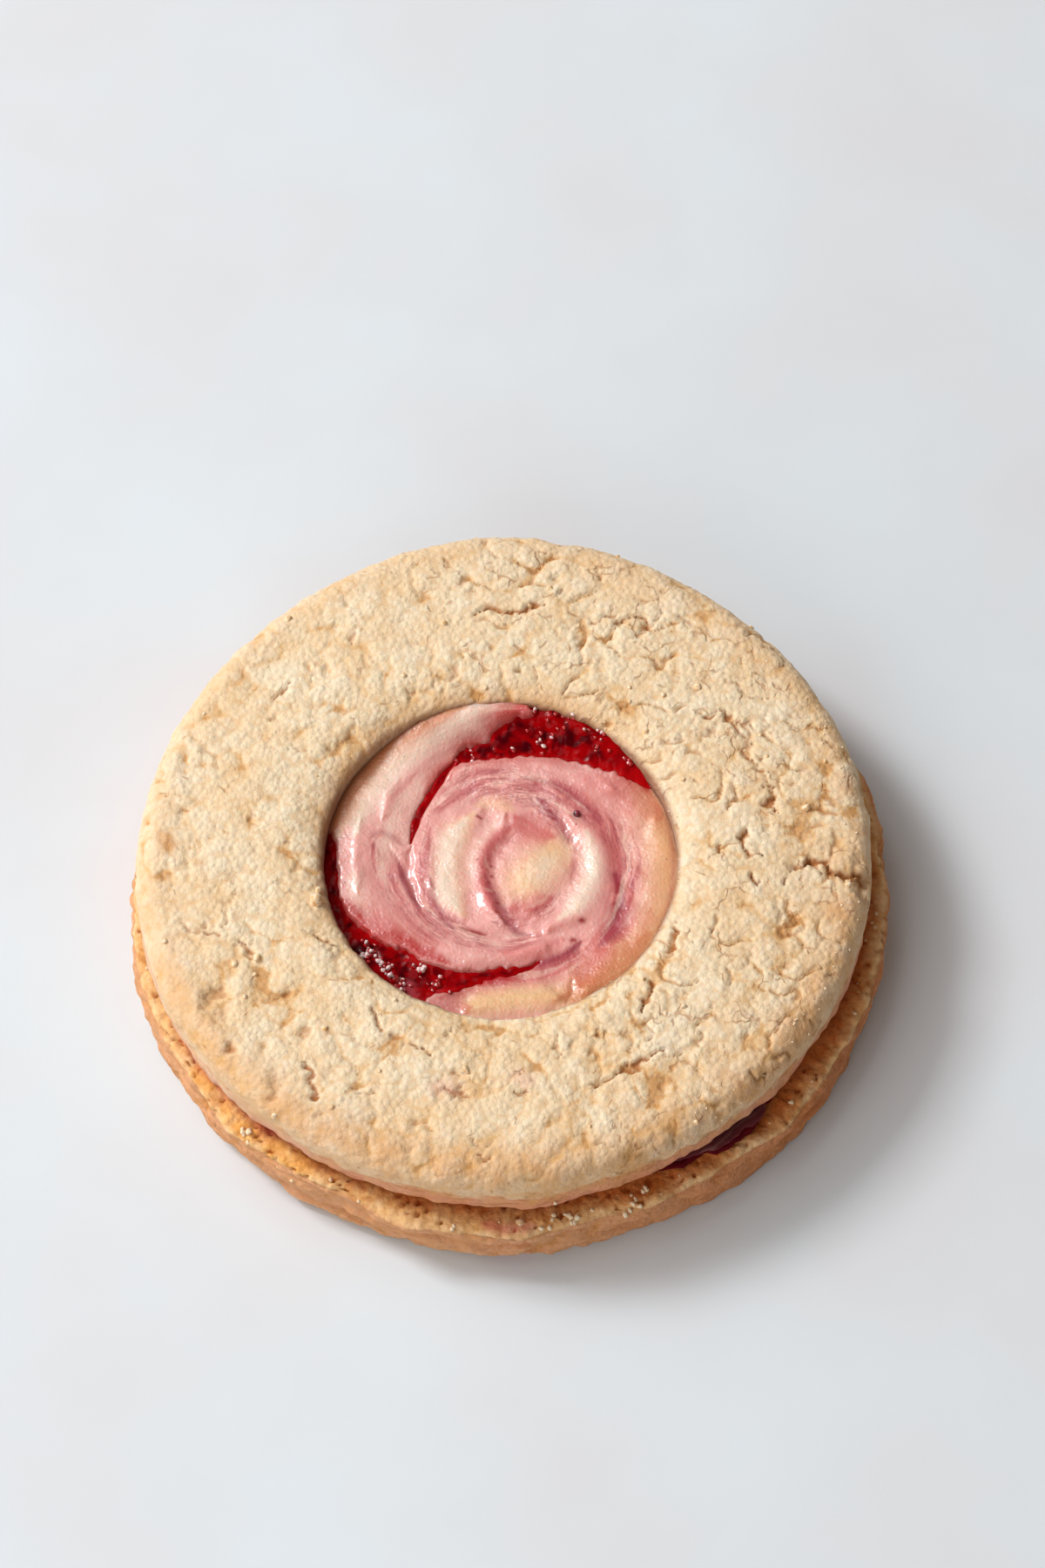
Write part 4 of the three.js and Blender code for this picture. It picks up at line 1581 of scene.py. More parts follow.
@dataclass
class CreamSwirl(Filling):
    """Cream that was stirred into a swirl in the window."""

    node: str = "cream"
    name: str = "cream_swirled"
    layer: Layer = Layer(6.55, 7.1, 16.0, 71)
    level: float = 10.15
    foot: float = 7.2
    margin: float = 0.35
    spacing: float = 0.13
    relief: float = 0.82
    relief_limit: float = 1.25
    well_depth: float = 0.9
    ridges: tuple[Stroke, ...] = (
        Stroke(((3.0, 15.4), (-1.0, 15.2), (-4.6, 13.4), (-8.2, 10.4), (-11.2, 7.0),
                (-13.2, 3.4), (-13.8, -1.0), (-13.0, -4.0), (-11.2, -6.8), (-8.2, -8.8),
                (-4.4, -10.0), (0.0, -10.2), (4.0, -9.6)), 2.3, 0.58, 2.5),
        Stroke(((-3.4, 9.8), (-5.8, 6.6), (-7.0, 3.6), (-7.2, 0.4), (-6.4, -3.0)), 1.0, 0.14),
        Stroke(((-9.9, 8.6), (-10.9, 6.4), (-11.1, 4.2)), 0.5, 0.22, 0.35),
        Stroke(((-13.3, 4.2), (-13.7, 0.2), (-13.3, -4.0)), 0.6, 0.26, 0.4),
        Stroke(((-4.8, 9.4), (-1.0, 10.2), (3.0, 10.4), (7.0, 9.6), (10.8, 7.8)), 1.2, 0.36, 2.8),
        Stroke(((6.6, 4.6), (8.0, 3.0), (8.9, 1.0), (9.1, -1.2),
                (8.2, -3.8), (6.6, -5.8), (4.4, -7.4)), 1.5, 0.56, 1.1),
        Stroke(((-1.8, 5.4), (-3.5, 3.2), (-4.6, 0.8), (-5.0, -1.6),
                (-4.7, -4.1), (-3.4, -6.2)), 1.6, 0.32, 1.4),
        Stroke(((0.4, 4.9), (-0.2, 3.4), (-1.2, 1.6), (-1.8, -0.4),
                (-1.7, -2.8), (-0.9, -5.0), (0.3, -6.6)), 0.9, 0.42, 1.0),
        Stroke(((0.6, 4.8), (1.0, 4.2)), 1.3, 0.26, blunt=True),
        Stroke(((2.6, -2.2), (4.2, -0.6)), 2.8, 0.34, blunt=True),
        Stroke(((-3.0, -15.6), (1.5, -14.8), (5.4, -14.6)), 1.6, 0.40),
        Stroke(((8.0, -13.6), (11.6, -10.2), (14.4, -5.4), (15.2, 0.0), (14.8, 4.4)), 2.2, 0.30),
    )
    furrows: tuple[Stroke, ...] = (
        Stroke(((-8.5, 1.6), (-8.6, -0.4), (-8.3, -2.6), (-7.4, -5.0)), 0.35, 0.32, 0.5),
        Stroke(((-10.4, 1.6), (-9.2, -0.6), (-8.0, -3.4)), 0.30, 0.14, 0.4),
        Stroke(((1.6, 3.0), (0.4, 1.8), (-0.4, 0.2), (-0.5, -1.8), (0.0, -3.8), (1.0, -5.4)), 0.6, 0.08),
        Stroke(((6.2, 3.2), (6.8, 0.6), (6.6, -2.2), (5.0, -4.6), (2.6, -6.2)), 0.8, 0.12),
        Stroke(((0.6, -6.4), (1.4, -7.4), (2.9, -7.9)), 0.5, 0.22),
        Stroke(((6.8, -12.4), (6.9, -13.6), (6.3, -15.2)), 0.25, 0.20, 0.3),
    )
    reddened: tuple[Stroke, ...] = (
        Stroke(((-1.4, 13.6), (-3.8, 12.0), (-5.6, 10.0), (-7.2, 7.2)), 1.1, 0.50),
        Stroke(((3.2, 16.2), (1.2, 15.6), (-0.8, 14.2)), 1.3, 0.70, blunt=True),
        Stroke(((12.2, 8.6), (13.6, 7.2), (14.6, 5.4)), 1.6, 0.65, blunt=True),
        Stroke(((-15.4, -4.2), (-13.0, -6.6), (-10.6, -8.2), (-7.6, -9.6), (-5.0, -11.0)), 1.6, 0.90, 0.8),
        Stroke(((-3.2, 10.2), (0.2, 10.8), (4.0, 10.8), (8.0, 9.8)), 0.7, 0.30),
        Stroke(((-5.6, -14.6), (-3.6, -14.0), (-1.2, -13.0), (2.8, -12.0)), 0.8, 0.45),
    )
    plain: tuple[Tone, ...] = (Tone.CUSTARD, Tone.IVORY)
    washes: tuple[tuple[Tone, tuple[Stroke, ...]], ...] = (
        (Tone.CUSTARD, (
            Stroke(((15.2, 7.4), (16.0, 2.0), (16.2, -4.0), (14.4, -8.4),
                    (11.4, -12.0), (8.2, -14.8)), 2.7, 1.0, blunt=True),
            Stroke(((-2.2, -15.2), (2.0, -14.6), (5.2, -14.4)), 1.5, 1.0, 1.7, blunt=True),
            Stroke(((2.4, -2.4), (3.8, -0.8), (5.0, 0.8)), 2.1, 1.0, blunt=True),
            Stroke(((-2.6, 5.0), (-4.2, 2.4), (-4.9, -0.8), (-4.7, -3.6), (-3.4, -5.8)), 1.5, 0.60),
            Stroke(((-15.4, 2.6), (-14.6, 6.6), (-12.2, 10.2), (-8.6, 13.2)), 1.4, 0.75),
            Stroke(((1.2, 5.4), (-0.4, 6.2), (-2.4, 6.0)), 0.8, 0.5),
        )),
        (Tone.IVORY, (
            Stroke(((3.6, -1.6), (4.4, -0.4)), 1.4, 0.60, blunt=True),
            Stroke(((1.0, 15.6), (-3.5, 14.6), (-7.4, 12.4), (-11.0, 9.2),
                    (-13.2, 5.8), (-13.8, 2.6)), 1.7, 0.88),
            Stroke(((-13.9, -1.4), (-13.6, -4.2), (-12.4, -6.4)), 0.9, 0.45),
            Stroke(((-2.4, 13.4), (-6.2, 10.4), (-8.8, 6.6), (-10.4, 2.6), (-11.4, -1.6)), 1.3, 0.44),
            # partly painted highlight: the ivory along the right ridge is lighter where light catches it,
            # over the cream's own ivory
            Stroke(((8.2, 3.0), (8.8, 0.6), (8.8, -1.6), (7.6, -4.4), (5.6, -6.4)), 1.1, 0.95),
            Stroke(((-0.2, 4.8), (-1.0, 3.0), (-2.2, 0.9), (-2.8, -1.2), (-2.6, -3.2)), 0.6, 0.40),
            Stroke(((-3.2, 4.4), (-4.6, 2.0), (-5.2, -0.6), (-5.0, -3.4), (-3.8, -5.4)), 1.3, 0.90),
        )),
        (Tone.ROSE, (
            Stroke(((1.5, 3.9), (0.2, 2.7), (-0.9, 1.2), (-1.5, -0.8),
                    (-1.4, -3.0), (-0.5, -5.2), (0.9, -6.8)), 0.78, 0.80),
            Stroke(((0.2, 15.6), (-3.4, 13.2), (-6.6, 10.2), (-8.8, 6.4), (-9.8, 2.4)), 1.0, 0.12),
            Stroke(((-12.2, 1.2), (-10.8, -1.2), (-9.2, -4.0), (-6.8, -7.2)), 1.5, 0.22),
            Stroke(((14.2, -5.4), (13.0, -8.0), (11.0, -10.6)), 1.2, 0.30),
            Stroke(((10.2, -8.6), (9.0, -11.0), (7.4, -13.4)), 1.5, 0.85),
            Stroke(((12.2, -3.6), (12.0, -6.2), (10.6, -9.0)), 1.0, 0.80),
            Stroke(((0.0, -9.8), (3.0, -10.0), (6.0, -8.4)), 0.9, 0.45),
            Stroke(((7.6, 9.2), (10.4, 7.8), (12.6, 5.0)), 1.2, 0.40),
            Stroke(((1.4, 4.6), (3.2, 3.2), (5.0, 2.6)), 1.4, 0.75),
            Stroke(((0.8, -5.2), (2.6, -5.2), (4.8, -4.0)), 1.1, 0.70),
            Stroke(((-3.0, -12.8), (1.0, -12.6), (5.0, -11.8), (7.6, -9.6)), 0.8, 0.65),
            Stroke(((-7.0, -15.4), (-4.6, -15.6), (-2.8, -15.6)), 1.0, 0.50),
            Stroke(((-7.2, 4.6), (-7.7, 1.4), (-7.8, -1.6), (-6.6, -5.2)), 0.8, 0.30),
            Stroke(((3.4, 8.4), (6.6, 7.2), (9.2, 4.6), (10.9, 1.0),
                    (11.4, -3.0), (10.4, -6.6), (8.2, -9.4)), 1.3, 0.70),
        )),
        (Tone.MAUVE, (
            Stroke(((3.5, 6.9), (4.4, 5.6), (5.6, 4.2)), 0.45, 0.80),
            Stroke(((5.6, 4.0), (6.4, 2.4)), 0.6, 0.60, blunt=True),
            Stroke(((2.1, 8.9), (5.5, 8.0), (7.8, 6.2), (9.6, 3.8)), 0.45, 0.55),
            Stroke(((10.9, -1.6), (11.3, -3.2)), 0.50, 0.95, 0.40, blunt=True),
            Stroke(((11.5, -3.6), (11.2, -5.6), (10.4, -7.6), (9.4, -9.0)), 0.9, 1.0, 0.7),
            Stroke(((-1.4, -1.6), (-0.9, -3.4), (0.0, -5.2), (1.0, -6.6),
                    (1.6, -7.6), (2.9, -7.9)), 0.45, 0.60, 0.40),
            Stroke(((2.4, -11.3), (4.6, -10.7), (6.3, -9.9), (7.6, -8.6)), 0.45, 0.90, 0.6),
            Stroke(((-9.6, -0.2), (-8.9, -2.6), (-7.4, -5.6)), 0.35, 0.70),
            Stroke(((-12.4, 2.2), (-11.4, 2.9), (-10.2, 2.4), (-9.2, 1.6)), 0.40, 0.40),
            Stroke(((-6.6, -2.0), (-6.0, -5.0), (-4.2, -7.6)), 0.35, 0.55),
            Stroke(((-4.0, -12.6), (-0.6, -12.7), (2.2, -12.2)), 0.35, 0.60),
        )),
        (Tone.JAM, (
            Stroke(((-3.9, -7.1), (-2.6, -7.6), (-1.3, -8.0)), 0.22, 0.95),
            Stroke(((7.6, -6.5), (7.8, -6.5)), 0.28, 0.95, blunt=True),
            Stroke(((6.8, -8.5), (7.0, -8.5)), 0.28, 0.95, blunt=True),
            Stroke(((-2.2, 4.7), (-1.8, 4.5)), 0.14, 0.95, blunt=True),
            Stroke(((-2.1, 0.0), (-2.2, -0.1)), 0.12, 0.9, blunt=True),
            Stroke(((11.2, -2.6), (11.0, -3.4)), 0.24, 0.7, blunt=True),
            *(Stroke(((x, y), (x + 0.1, y - 0.1)), 0.13, 0.8, blunt=True) for x, y in (
                (-0.9, -0.6), (-0.8, -1.7), (-1.1, -2.4), (-0.6, -3.4), (-0.3, -4.6), (-0.4, -5.6),
                (0.1, -6.3), (10.7, -4.6), (5.0, 4.6), (4.2, 5.6), (11.5, -5.6))),
            Stroke(((-16.4, 3.0), (-15.2, 7.0), (-12.4, 11.0), (-8.4, 14.0), (-4.0, 15.9)), 0.35, 0.50),
            Stroke(((15.7, 6.0), (16.5, 0.0), (15.8, -5.6), (14.0, -9.6)), 0.40, 0.55),
        )),
        (Tone.TAN, (
            Stroke(((15.4, 6.0), (16.0, 0.0), (15.0, -6.0), (12.4, -10.5)), 2.0, 0.28),
            # painted shadow: the tan stroke along the upper left wall stands for the wall's shadow on the
            # cream
            Stroke(((-16.2, 2.6), (-15.2, 6.0), (-12.6, 10.6), (-8.4, 14.0), (-3.6, 15.8)), 1.5, 0.95),
            Stroke(((5.6, -14.6), (8.6, -13.4), (11.6, -11.2), (14.0, -8.0)), 2.0, 0.75, 2.2),
        )),
        # painted shadow: the browned stroke darkens the cream's edge along the upper left wall, in the wall's
        # shade
        (Tone.BROWNED, (
            Stroke(((-16.5, 3.2), (-15.4, 7.0), (-12.5, 11.2), (-8.4, 14.2), (-4.0, 15.9)), 0.5, 0.60),
        )),
    )
    streaked: tuple[Stroke, ...] = (
        Stroke(((-6.0, 5.4), (-4.3, 7.2), (-2.0, 8.6), (1.0, 8.8),
                (4.0, 8.0), (6.8, 6.0), (8.6, 3.8)), 1.5, 0.95),
        Stroke(((-3.8, 5.9), (-2.0, 6.8), (0.4, 7.0), (2.6, 6.6), (4.8, 4.9),
                (6.2, 2.8), (7.0, 0.4), (6.8, -2.4)), 0.9, 1.0),
        Stroke(((8.6, 5.8), (10.6, 3.4), (11.8, 0.4), (12.0, -3.4), (11.2, -6.4), (9.6, -8.8)), 1.4, 1.0),
        Stroke(((-6.8, 3.6), (-7.2, 0.0), (-6.8, -3.4), (-5.4, -6.4),
                (-3.0, -8.4), (0.4, -9.0), (4.0, -8.2)), 1.2, 1.0),
        Stroke(((-12.0, 1.4), (-10.8, -1.2), (-9.4, -4.0), (-7.4, -6.8), (-4.4, -8.8)), 1.5, 0.9),
        Stroke(((5.6, -3.6), (3.8, -5.3), (1.6, -6.4), (-0.6, -6.6)), 1.0, 0.9),
        Stroke(((1.6, 2.6), (-0.2, 1.2), (-1.2, -1.0), (-0.9, -3.4), (0.6, -5.6)), 0.8, 0.35),
        Stroke(((-4.0, -13.0), (0.4, -12.6), (4.4, -11.8), (8.0, -9.8)), 1.0, 0.9),
        Stroke(((-9.8, 4.0), (-9.4, 7.0), (-6.6, 10.2)), 0.8, 0.4),
        Stroke(((13.4, 5.0), (13.8, 0.0), (12.8, -6.0)), 1.0, 0.50),
    )

    def height(self, plan: Numbers) -> Numbers:
        """The swirl's relief.

        Args:
            plan: places, one row each.

        Returns:
            Height of the cream's surface at each place.
        """
        flat = levelled(plan)
        loose = warped(plan, 2.4, 0.22, 61)
        swirl = total(loose, self.ridges) - total(loose, self.furrows)
        swirl = self.relief * (self.relief_limit * np.tanh(swirl / self.relief_limit))
        swirl = swirl + 0.08 * waves(flat, 3.4, 64, 2) + 0.02 * waves(flat, 0.8, 66, 2)
        return self.level + swirl + self.meniscus.rise(plan)

    def build(self, finish: Material) -> Thing:
        """Builds the cream, which dips under the jam in the wells, and dresses it.

        Args:
            finish: its material.

        Returns:
            The piece.
        """
        piece, top, ring = self.started()
        plan = piece.points[:, :2]
        inside = np.full(len(plan), -9.0)
        inside[top] = self.wells.inside(plan[top])
        surface = self.height(plan[top])
        floor = self.level - self.well_depth + self.meniscus.rise(plan[top])
        self.settle(piece, top, ring, surface + ease(inside[top], -0.25, 0.55) * (floor - surface))
        pale = [stroke for tone, strokes in self.washes if tone in self.plain for stroke in strokes]
        plain = strongest(plan, pale)
        streaks = np.clip(total(plan, self.streaked), 0.0, 1.0) * (1.0 - 0.75 * np.clip(plain, 0.0, 1.0))
        bleed = 0.30 * ease(inside, -1.5, 0.0) ** 2 + 0.25 * ease(inside, -0.25, 0.0)
        bleed = bleed + strongest(plan, self.reddened)
        piece.carry("tone", self.tones(plan, ring))
        piece.carry("streaks", np.where(ring, 0.0, streaks))
        piece.carry("bleed", np.where(ring, 0.0, np.clip(bleed, 0.0, 0.9)))
        return piece.finish(finish, self.node, self.node)

    def tones(self, plan: Numbers, ring: Numbers) -> Numbers:
        """The cream's colour before its streaks.

        Args:
            plan: places, one row each.
            ring: which of them lie between the biscuits.

        Returns:
            Red, green and blue of each place.
        """
        colour = np.tile(np.array(Tone.PINK.light), (len(plan), 1))
        for tone, strokes in self.washes:
            cover = np.clip(strongest(plan, strokes), 0.0, 1.0)[:, None]
            colour = colour + cover * (np.array(tone.light) - colour)
        # painted shade: the cream layer between the biscuits is painted dark purple, as it lies in the gap's
        # shade
        colour[ring] = Tone.PURPLE.light
        return colour


@dataclass
class JamFilling(Filling):
    """Jam: its layer lies on the lower biscuit, and it stands up in the wells of the window."""

    node: str = "jam"
    name: str = "jam_filling"
    layer: Layer = Layer(5.85, 6.5, 20.0, 91)
    level: float = 10.05
    foot: float = 8.0
    margin: float = 0.30
    spacing: float = 0.16
    overlap: float = 0.7
    milky: tuple[Stroke, ...] = (
        Stroke(((-8.7, -12.6), (-8.3, -15.6)), 0.75, 0.75), Stroke(((-6.6, -14.6), (-4.6, -15.4)), 0.8, 0.55),
    )

    def kept(self, plan: Numbers) -> Numbers:
        """Tells where jam is, or lies just under the cream's edge."""
        return (self.wells.inside(plan) > -self.overlap) & super().kept(plan)

    def build(self, finish: Material) -> Thing:
        """Builds the jam and dresses it.

        Args:
            finish: its material.

        Returns:
            The piece.
        """
        piece, top, ring = self.started()
        plan = piece.points[:, :2]
        inside = np.full(len(plan), 1.0)
        inside[top] = self.wells.inside(plan[top])
        flat = levelled(plan[top])
        surface = self.level + 0.12 * waves(flat, 2.2, 81, 2) + 0.11 * waves(flat, 1.0, 83, 2)
        surface = surface + self.meniscus.rise(plan[top])
        self.settle(piece, top, ring, surface - 0.5 * (1.0 - ease(inside[top], -0.6, 0.1)))
        piece.carry("depth", ease(inside, -0.2, 0.6) * (1.0 - 0.8 * ease(plan[:, 0], 8.5, 13.0)))
        piece.carry("milky", np.where(ring, 0.0, strongest(plan, self.milky)))
        return piece.finish(finish, self.node, self.node)


# ---- Small things on top ----


@dataclass(frozen=True)
class Bit:
    """One small thing on a surface: where it lies and its radius, and how deep it sinks in, as a share."""

    at: Point
    radius: float
    sunk: float = 0.35


class Shape(Enum):
    """What a small thing is like, as how uneven it is."""

    CRUMB = 0.32
    BEAD = 0.04


class Ground:
    """Finds the surface under a place, to lay small things on."""

    def __init__(self, made: Thing) -> None:
        """Takes the surface of a finished piece.

        Args:
            made: the piece.
        """
        form = bmesh.new()
        form.from_mesh(made.data)
        self.tree = BVHTree.FromBMesh(form)
        form.free()

    def under(self, place: Point) -> tuple[Vector, Vector] | None:
        """Looks down on the surface.

        Args:
            place: where in plan.

        Returns:
            The highest point of the surface there and the way that it faces, or None off the surface.
        """
        above = Vector((place[0] * MM, place[1] * MM, WELL_ABOVE))
        spot, normal, _, _ = self.tree.ray_cast(above, Vector((0, 0, -1)))
        return None if spot is None else (spot / MM, normal)


@dataclass
class Scatter:
    """Many small things of one kind, laid on a surface as one piece."""

    name: str
    shape: Shape
    slot: str
    bits: list[Bit]
    seed: int = 5

    def one(self, size: float, chance: random.Random) -> Form:
        """The shape of one small thing, about its own middle.

        Args:
            size: its radius.
            chance: where its unevenness comes from.

        Returns:
            Its form.
        """
        form = bmesh.new()
        bmesh.ops.create_icosphere(form, subdivisions=1 if size < 0.2 else 2, radius=1.0)
        offset = Vector([chance.uniform(-50, 50) for _ in range(3)])
        for vert in form.verts:
            uneven = self.shape.value * noise.fractal(vert.co * 1.3 + offset, 1.0, 2.0, 2) * 1.6
            vert.co *= size * (1.0 + uneven)
        if self.shape is Shape.CRUMB:
            bmesh.ops.scale(form, verts=form.verts, vec=[chance.uniform(0.75, 1.2) for _ in range(3)])
        angle = chance.uniform(0, math.tau)
        axis = Vector([chance.uniform(low, 1) for low in (-1, -1, 0.2)]).normalized()
        bmesh.ops.rotate(form, verts=form.verts, cent=(0, 0, 0), matrix=Matrix.Rotation(angle, 3, axis))
        return form

    def build(self, ground: Sequence[Ground], finish: Material) -> Thing:
        """Lays the small things and dresses them.

        Args:
            ground: the surfaces that they may lie on, of which the highest counts.
            finish: their material.

        Returns:
            The piece.
        """
        chance = random.Random(self.seed)
        forms = []
        for bit in self.bits:
            found = [hit for hit in (surface.under(bit.at) for surface in ground) if hit]
            if not found:
                continue
            spot, normal = max(found, key=lambda hit: hit[0].z)
            form = self.one(bit.radius, chance)
            lift = normal * bit.radius * (1.0 - 2.0 * bit.sunk)
            bmesh.ops.translate(form, verts=form.verts, vec=spot + lift)
            forms.append(form)
        return Piece(joined(forms), self.name).finish(finish, self.slot)


@dataclass
class Sprinkling:
    """Where the small things lie. Its lists share one source of chances, so they are made in this order."""

    chance: random.Random = field(default_factory=lambda: random.Random(7))
    crumb_bits: tuple[Bit, ...] = (
        Bit((-17.2, -5.7), 0.6), Bit((-17.0, -4.5), 0.4), Bit((32.6, -4.0), 0.42), Bit((29.0, 4.2), 0.35),
        Bit((1.9, -35.4), 0.5, 0.5), Bit((27.1, -23.2), 0.3),
    )
    sugar_heaps: Corners = (
        (13.3, -32.1), (12.7, -33.6), (12.9, -34.1), (12.0, -34.2), (13.4, -32.0), (12.4, -33.0),
        (6.5, -34.4), (6.4, -35.2), (6.9, -35.2), (5.0, -34.8), (4.5, -36.0), (-4.2, -35.8),
        (22.0, -30.0), (16.2, -33.9), (-23.8, -26.0), (-23.2, -26.8), (-23.5, -26.3),
    )
    bubbles: tuple[tuple[Point, float], ...] = (
        ((1.3, 12.1), 0.30), ((3.6, 12.7), 0.26), ((7.1, 14.8), 0.36), ((8.3, 14.4), 0.28),
        ((8.1, 13.4), 0.26), ((11.4, 12.6), 0.28), ((9.7, 12.4), 0.18), ((2.2, 16.4), 0.22),
        ((4.1, 16.2), 0.22), ((-5.0, 9.1), 0.24), ((-12.5, -8.9), 0.36), ((-12.0, -9.9), 0.34),
        ((-11.5, -10.5), 0.30), ((-11.1, -11.3), 0.26), ((-10.0, -11.2), 0.22), ((-9.8, -12.6), 0.50),
        ((-9.0, -13.8), 0.34), ((-8.0, -11.2), 0.26), ((-7.3, -11.2), 0.22), ((-4.6, -14.0), 0.22),
        ((-4.2, -15.2), 0.28),
    )
    glint_spots: tuple[tuple[Point, float, int], ...] = (
        ((-12.4, -9.7), 1.0, 16), ((-10.8, -11.4), 0.9, 14), ((-9.4, -12.8), 0.8, 14),
        ((-7.4, -11.6), 0.8, 8), ((-6.0, -13.0), 0.7, 8), ((-4.4, -15.0), 0.7, 8),
        ((12.8, 10.8), 1.4, 22), ((9.6, 13.0), 1.6, 16), ((4.6, 13.8), 2.4, 16), ((14.6, 8.8), 0.8, 10),
        ((2.6, 16.2), 1.2, 8), ((-3.4, 11.2), 1.2, 5),
    )

    def ring(self, count: int, where: tuple[float, ...], sizes: Point, sunk: float) -> list[Bit]:
        """Chance bits in a ring.

        Args:
            count: how many there are.
            where: the ring's inner and outer radius, and its two end angles if it isn't full.
            sizes: their smallest and largest radius.
            sunk: how deep they sink in.

        Returns:
            The bits.
        """
        return [Bit(around(self.chance, *where), self.chance.uniform(*sizes), sunk) for _ in range(count)]

    def near(self, place: Point, spread: float) -> Point:
        """A chance place around another."""
        return self.chance.gauss(place[0], spread), self.chance.gauss(place[1], spread)

    def crumbs(self) -> list[Bit]:
        """Loose crumbs on both biscuits.

        Returns:
            The crumbs.
        """
        face = self.ring(36, (17.4, 34.2), (0.16, 0.36), 0.5)
        ledge = self.ring(40, (34.6, 36.2), (0.12, 0.26), 0.6)
        return [*self.crumb_bits, *face, *ledge]

    def sugar(self) -> list[Bit]:
        """Sugar: small heaps on the ledge, and grains along the rim, by the window and on the face.

        Returns:
            The grains.
        """
        places = 2 * self.sugar_heaps
        heaps = [Bit(self.near(place, 0.20), self.chance.uniform(0.17, 0.27), 0.2) for place in places]
        rim = self.ring(50, (32.6, 34.4, -60, 40), (0.08, 0.14), 0.5)
        window = self.ring(50, (16.6, 17.2, -70, 60), (0.07, 0.13), 0.5)
        face = self.ring(60, (17.0, 33.4), (0.06, 0.10), 0.6)
        return [*heaps, *rim, *window, *face]

    def foam_and_glints(self) -> tuple[list[Bit], list[Bit]]:
        """Bubbles in the jam, with pale specks on and around them that are painted glints and partly foam.

        Returns:
            The bubbles, and the pale specks, painted glints and partly foam.
        """
        beads = [Bit(place, size, 0.55) for place, size in self.bubbles]
        # painted highlights: a pale speck sits on each bubble's side towards the light
        glints = [
            Bit((bead.at[0] - 0.3 * bead.radius, bead.at[1] + 0.3 * bead.radius), 0.60 * bead.radius, -0.6)
            for bead in beads
        ]
        # painted glints, partly foam: clusters of pale specks over the jam
        for spot, spread, count in self.glint_spots:
            places = [self.near(spot, 0.5 * spread) for _ in range(count)]
            glints += [Bit(place, 0.06 + 0.24 * self.chance.random() ** 3, 0.4) for place in places]
            beads += [Bit((x + 0.15, y - 0.1), self.chance.uniform(0.12, 0.26), 0.5) for x, y in places]
        return beads, glints


# ---- Studio ----


@dataclass(frozen=True)
class Softbox:
    """A soft square light: where it stands, its side and its power in watts."""

    name: str
    at: Triple
    side: float
    power: float

    def place(self) -> None:
        """Puts the light up, facing the cookie."""
        lamp = bpy.data.lights.new(self.name, "AREA")
        lamp.size = self.side
        lamp.energy = self.power
        stand = bpy.data.objects.new(self.name, lamp)
        stand.location = self.at
        stand.rotation_euler = Vector(self.at).to_track_quat("Z", "Y").to_euler()
        bpy.context.scene.collection.objects.link(stand)


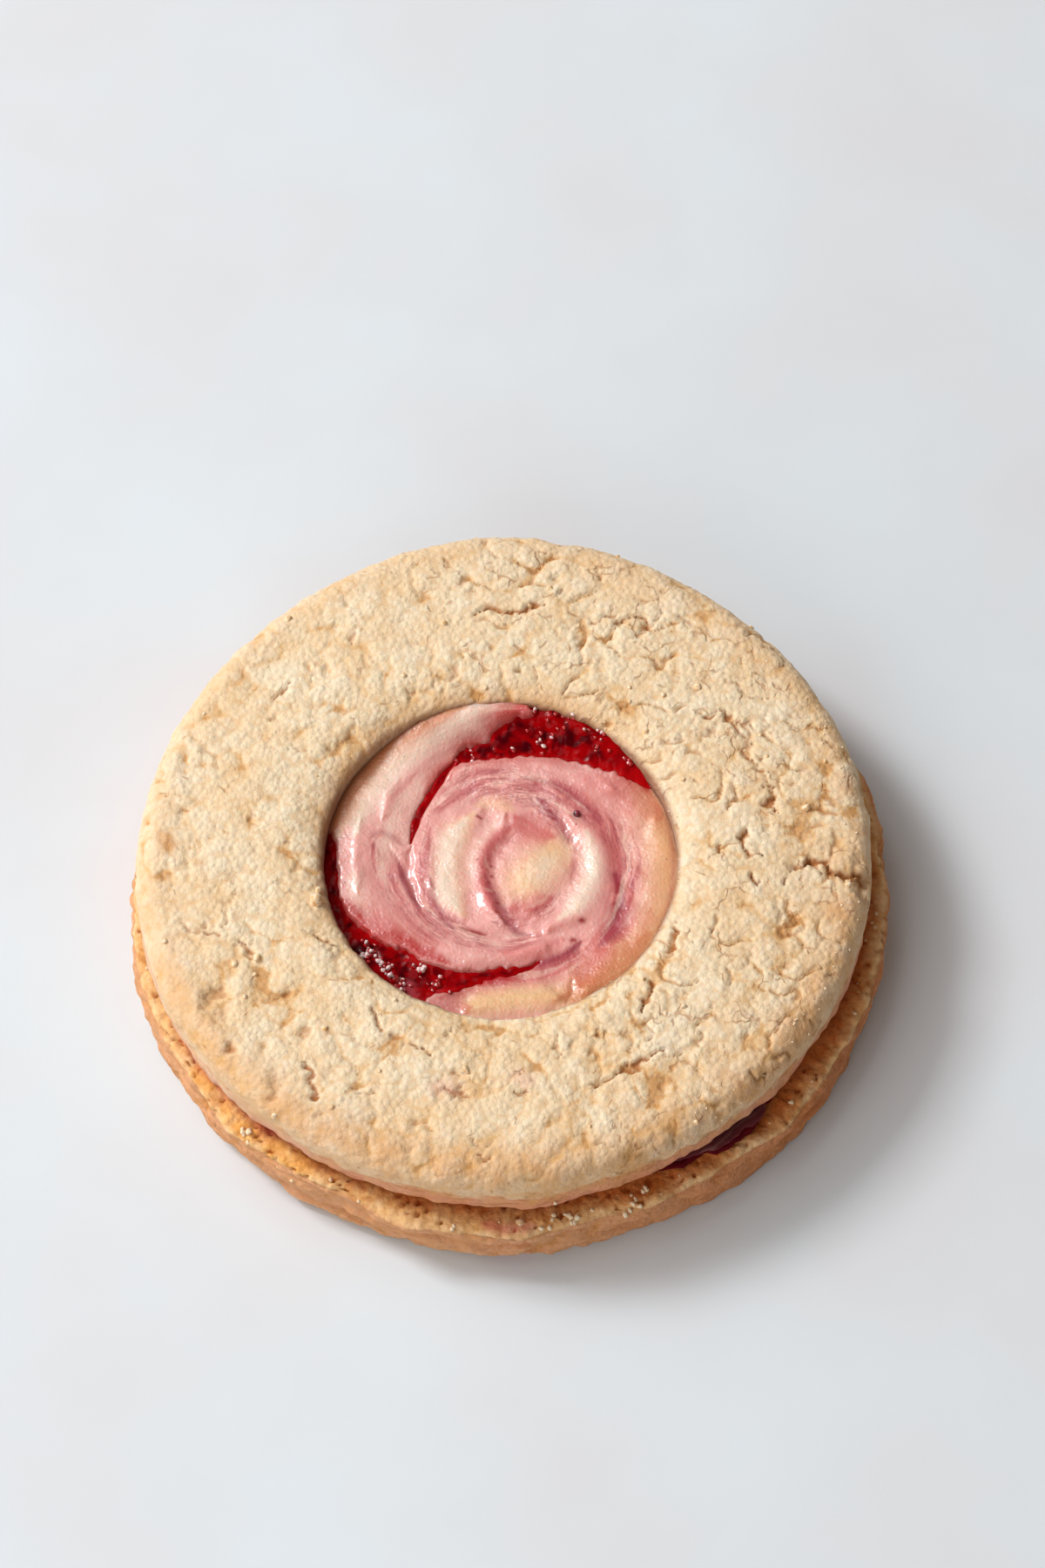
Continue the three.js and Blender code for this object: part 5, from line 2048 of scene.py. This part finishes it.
@dataclass(frozen=True)
class Studio:
    """Pale floor, soft light and camera, in metres."""

    floor_side: float = 3.0
    daylight: float = 0.19
    lights: tuple[Softbox, ...] = (
        Softbox("window_light", (-0.70, 0.36, 0.765), 0.30, 7.2),
        Softbox("window_glow", (-0.70, 0.36, 0.90), 1.20, 6.4),
        Softbox("reflector", (-0.28, -0.40, 0.26), 0.40, 1.05),
    )
    lens: float = 100.0
    sensor: float = 36.0
    camera_offset: Triple = (0.00213, -0.19688, 0.35963)
    camera_tilt: float = 29.5

    def floor(self) -> None:
        """Lays the floor."""
        form = bmesh.new()
        bmesh.ops.create_grid(form, x_segments=8, y_segments=8, size=self.floor_side / 2.0)
        mesh = bpy.data.meshes.new("floor")
        form.to_mesh(mesh)
        form.free()
        floor = bpy.data.objects.new("floor", mesh)
        bpy.context.scene.collection.objects.link(floor)
        recipe = Recipe("floor_paper")
        cloud = recipe.fade(recipe.noise(30.0, 3.0, 0.5), 0.3, 0.7, 0.0, 0.08)
        paper = recipe.blend(cloud, Tone.PAPER, Tone.WALL)
        finish = recipe.finish({"Base Color": paper, "Roughness": 0.8, "Specular IOR Level": 0.2})
        mesh.materials.append(finish)

    def light(self) -> None:
        """Lights the scene."""
        world = bpy.data.worlds.new("studio")
        world.use_nodes = True
        sky = world.node_tree.nodes["Background"]
        sky.inputs["Color"].default_value = (1.0, 0.89, 0.78, 1.0)
        sky.inputs["Strength"].default_value = self.daylight
        bpy.context.scene.world = world
        for box in self.lights:
            box.place()

    def camera(self, top: float) -> None:
        """Sets the camera up over the cookie.

        Args:
            top: height of the cookie's highest point.
        """
        lens = bpy.data.cameras.new("camera")
        lens.lens = self.lens
        lens.sensor_width = self.sensor
        lens.clip_start = 0.01
        made = bpy.data.objects.new("camera", lens)
        made.location = Vector(self.camera_offset) + Vector((0.0, 0.0, top))
        made.rotation_euler = (math.radians(self.camera_tilt), 0.0, 0.0)
        bpy.context.scene.collection.objects.link(made)
        bpy.context.scene.camera = made

    def build(self, top: float) -> None:
        """Sets everything up.

        Args:
            top: height of the cookie's highest point.
        """
        self.floor()
        self.light()
        self.camera(top)
        bpy.context.scene.view_settings.view_transform = "Standard"
        bpy.context.scene.view_settings.look = "None"


def main() -> None:
    """Builds the cookie, piece by piece, in its studio."""
    logging.basicConfig(level=logging.INFO, format="%(message)s")
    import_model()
    shortbread = Shortbread().material()
    toasted = Shortbread(
        "toasted_shortbread", high=Tone.STRAW, deep=Tone.TOASTED, scorched=Tone.SCORCHED, toasted=Tone.YOLK,
        side=Tone.SIDE,
    )
    base = Ground(BottomBiscuit().build(toasted.material()))
    jam = Ground(JamFilling().build(BerryJam().material()))
    cream = Ground(CreamSwirl().build(SwirledCream().material()))
    lid = Ground(TopBiscuit().build(shortbread))
    sprinkling = Sprinkling()
    crumbs = Scatter("loose_crumbs", Shape.CRUMB, "top_biscuit", sprinkling.crumbs())
    crumbs.build([lid, base], PlainFinish("crumb", Tone.PALE_CRUMB, Tone.GOLDEN, 0.85).material())
    sugar = Scatter("sugar_grains", Shape.CRUMB, "top_biscuit", sprinkling.sugar(), 8)
    sugar.build([lid, base], PlainFinish("sugar", Tone.PALE_CRUMB, Tone.STRAW, 0.70).material())
    beads, glints = sprinkling.foam_and_glints()
    # painted glints, partly foam: pale glossy specks laid on the jam
    foam_and_glints = Scatter("jam_foam_and_glints", Shape.CRUMB, "jam", glints, 9)
    foam_and_glints.build([jam], PlainFinish("foam_and_glints", Tone.FOAM_AND_GLINT, Tone.SUGAR, 0.15, 1.0).material())
    bubbles = Scatter("jam_bubbles", Shape.BEAD, "jam", beads, 9)
    bubbles.build([jam], PlainFinish("jam_bubble", Tone.JAM_THIN, Tone.JAM, 0.05, 1.0).material())
    seeds = Scatter("berry_seeds", Shape.BEAD, "cream", [Bit((7.3, 5.0), 0.38, 0.4)], 4)
    seeds.build([cream], PlainFinish("berry_seed", Tone.SEED, Tone.MAUVE, 0.25, 0.6).material())
    Studio().build(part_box("top_biscuit")[1].z)


if __name__ == "__main__":
    main()
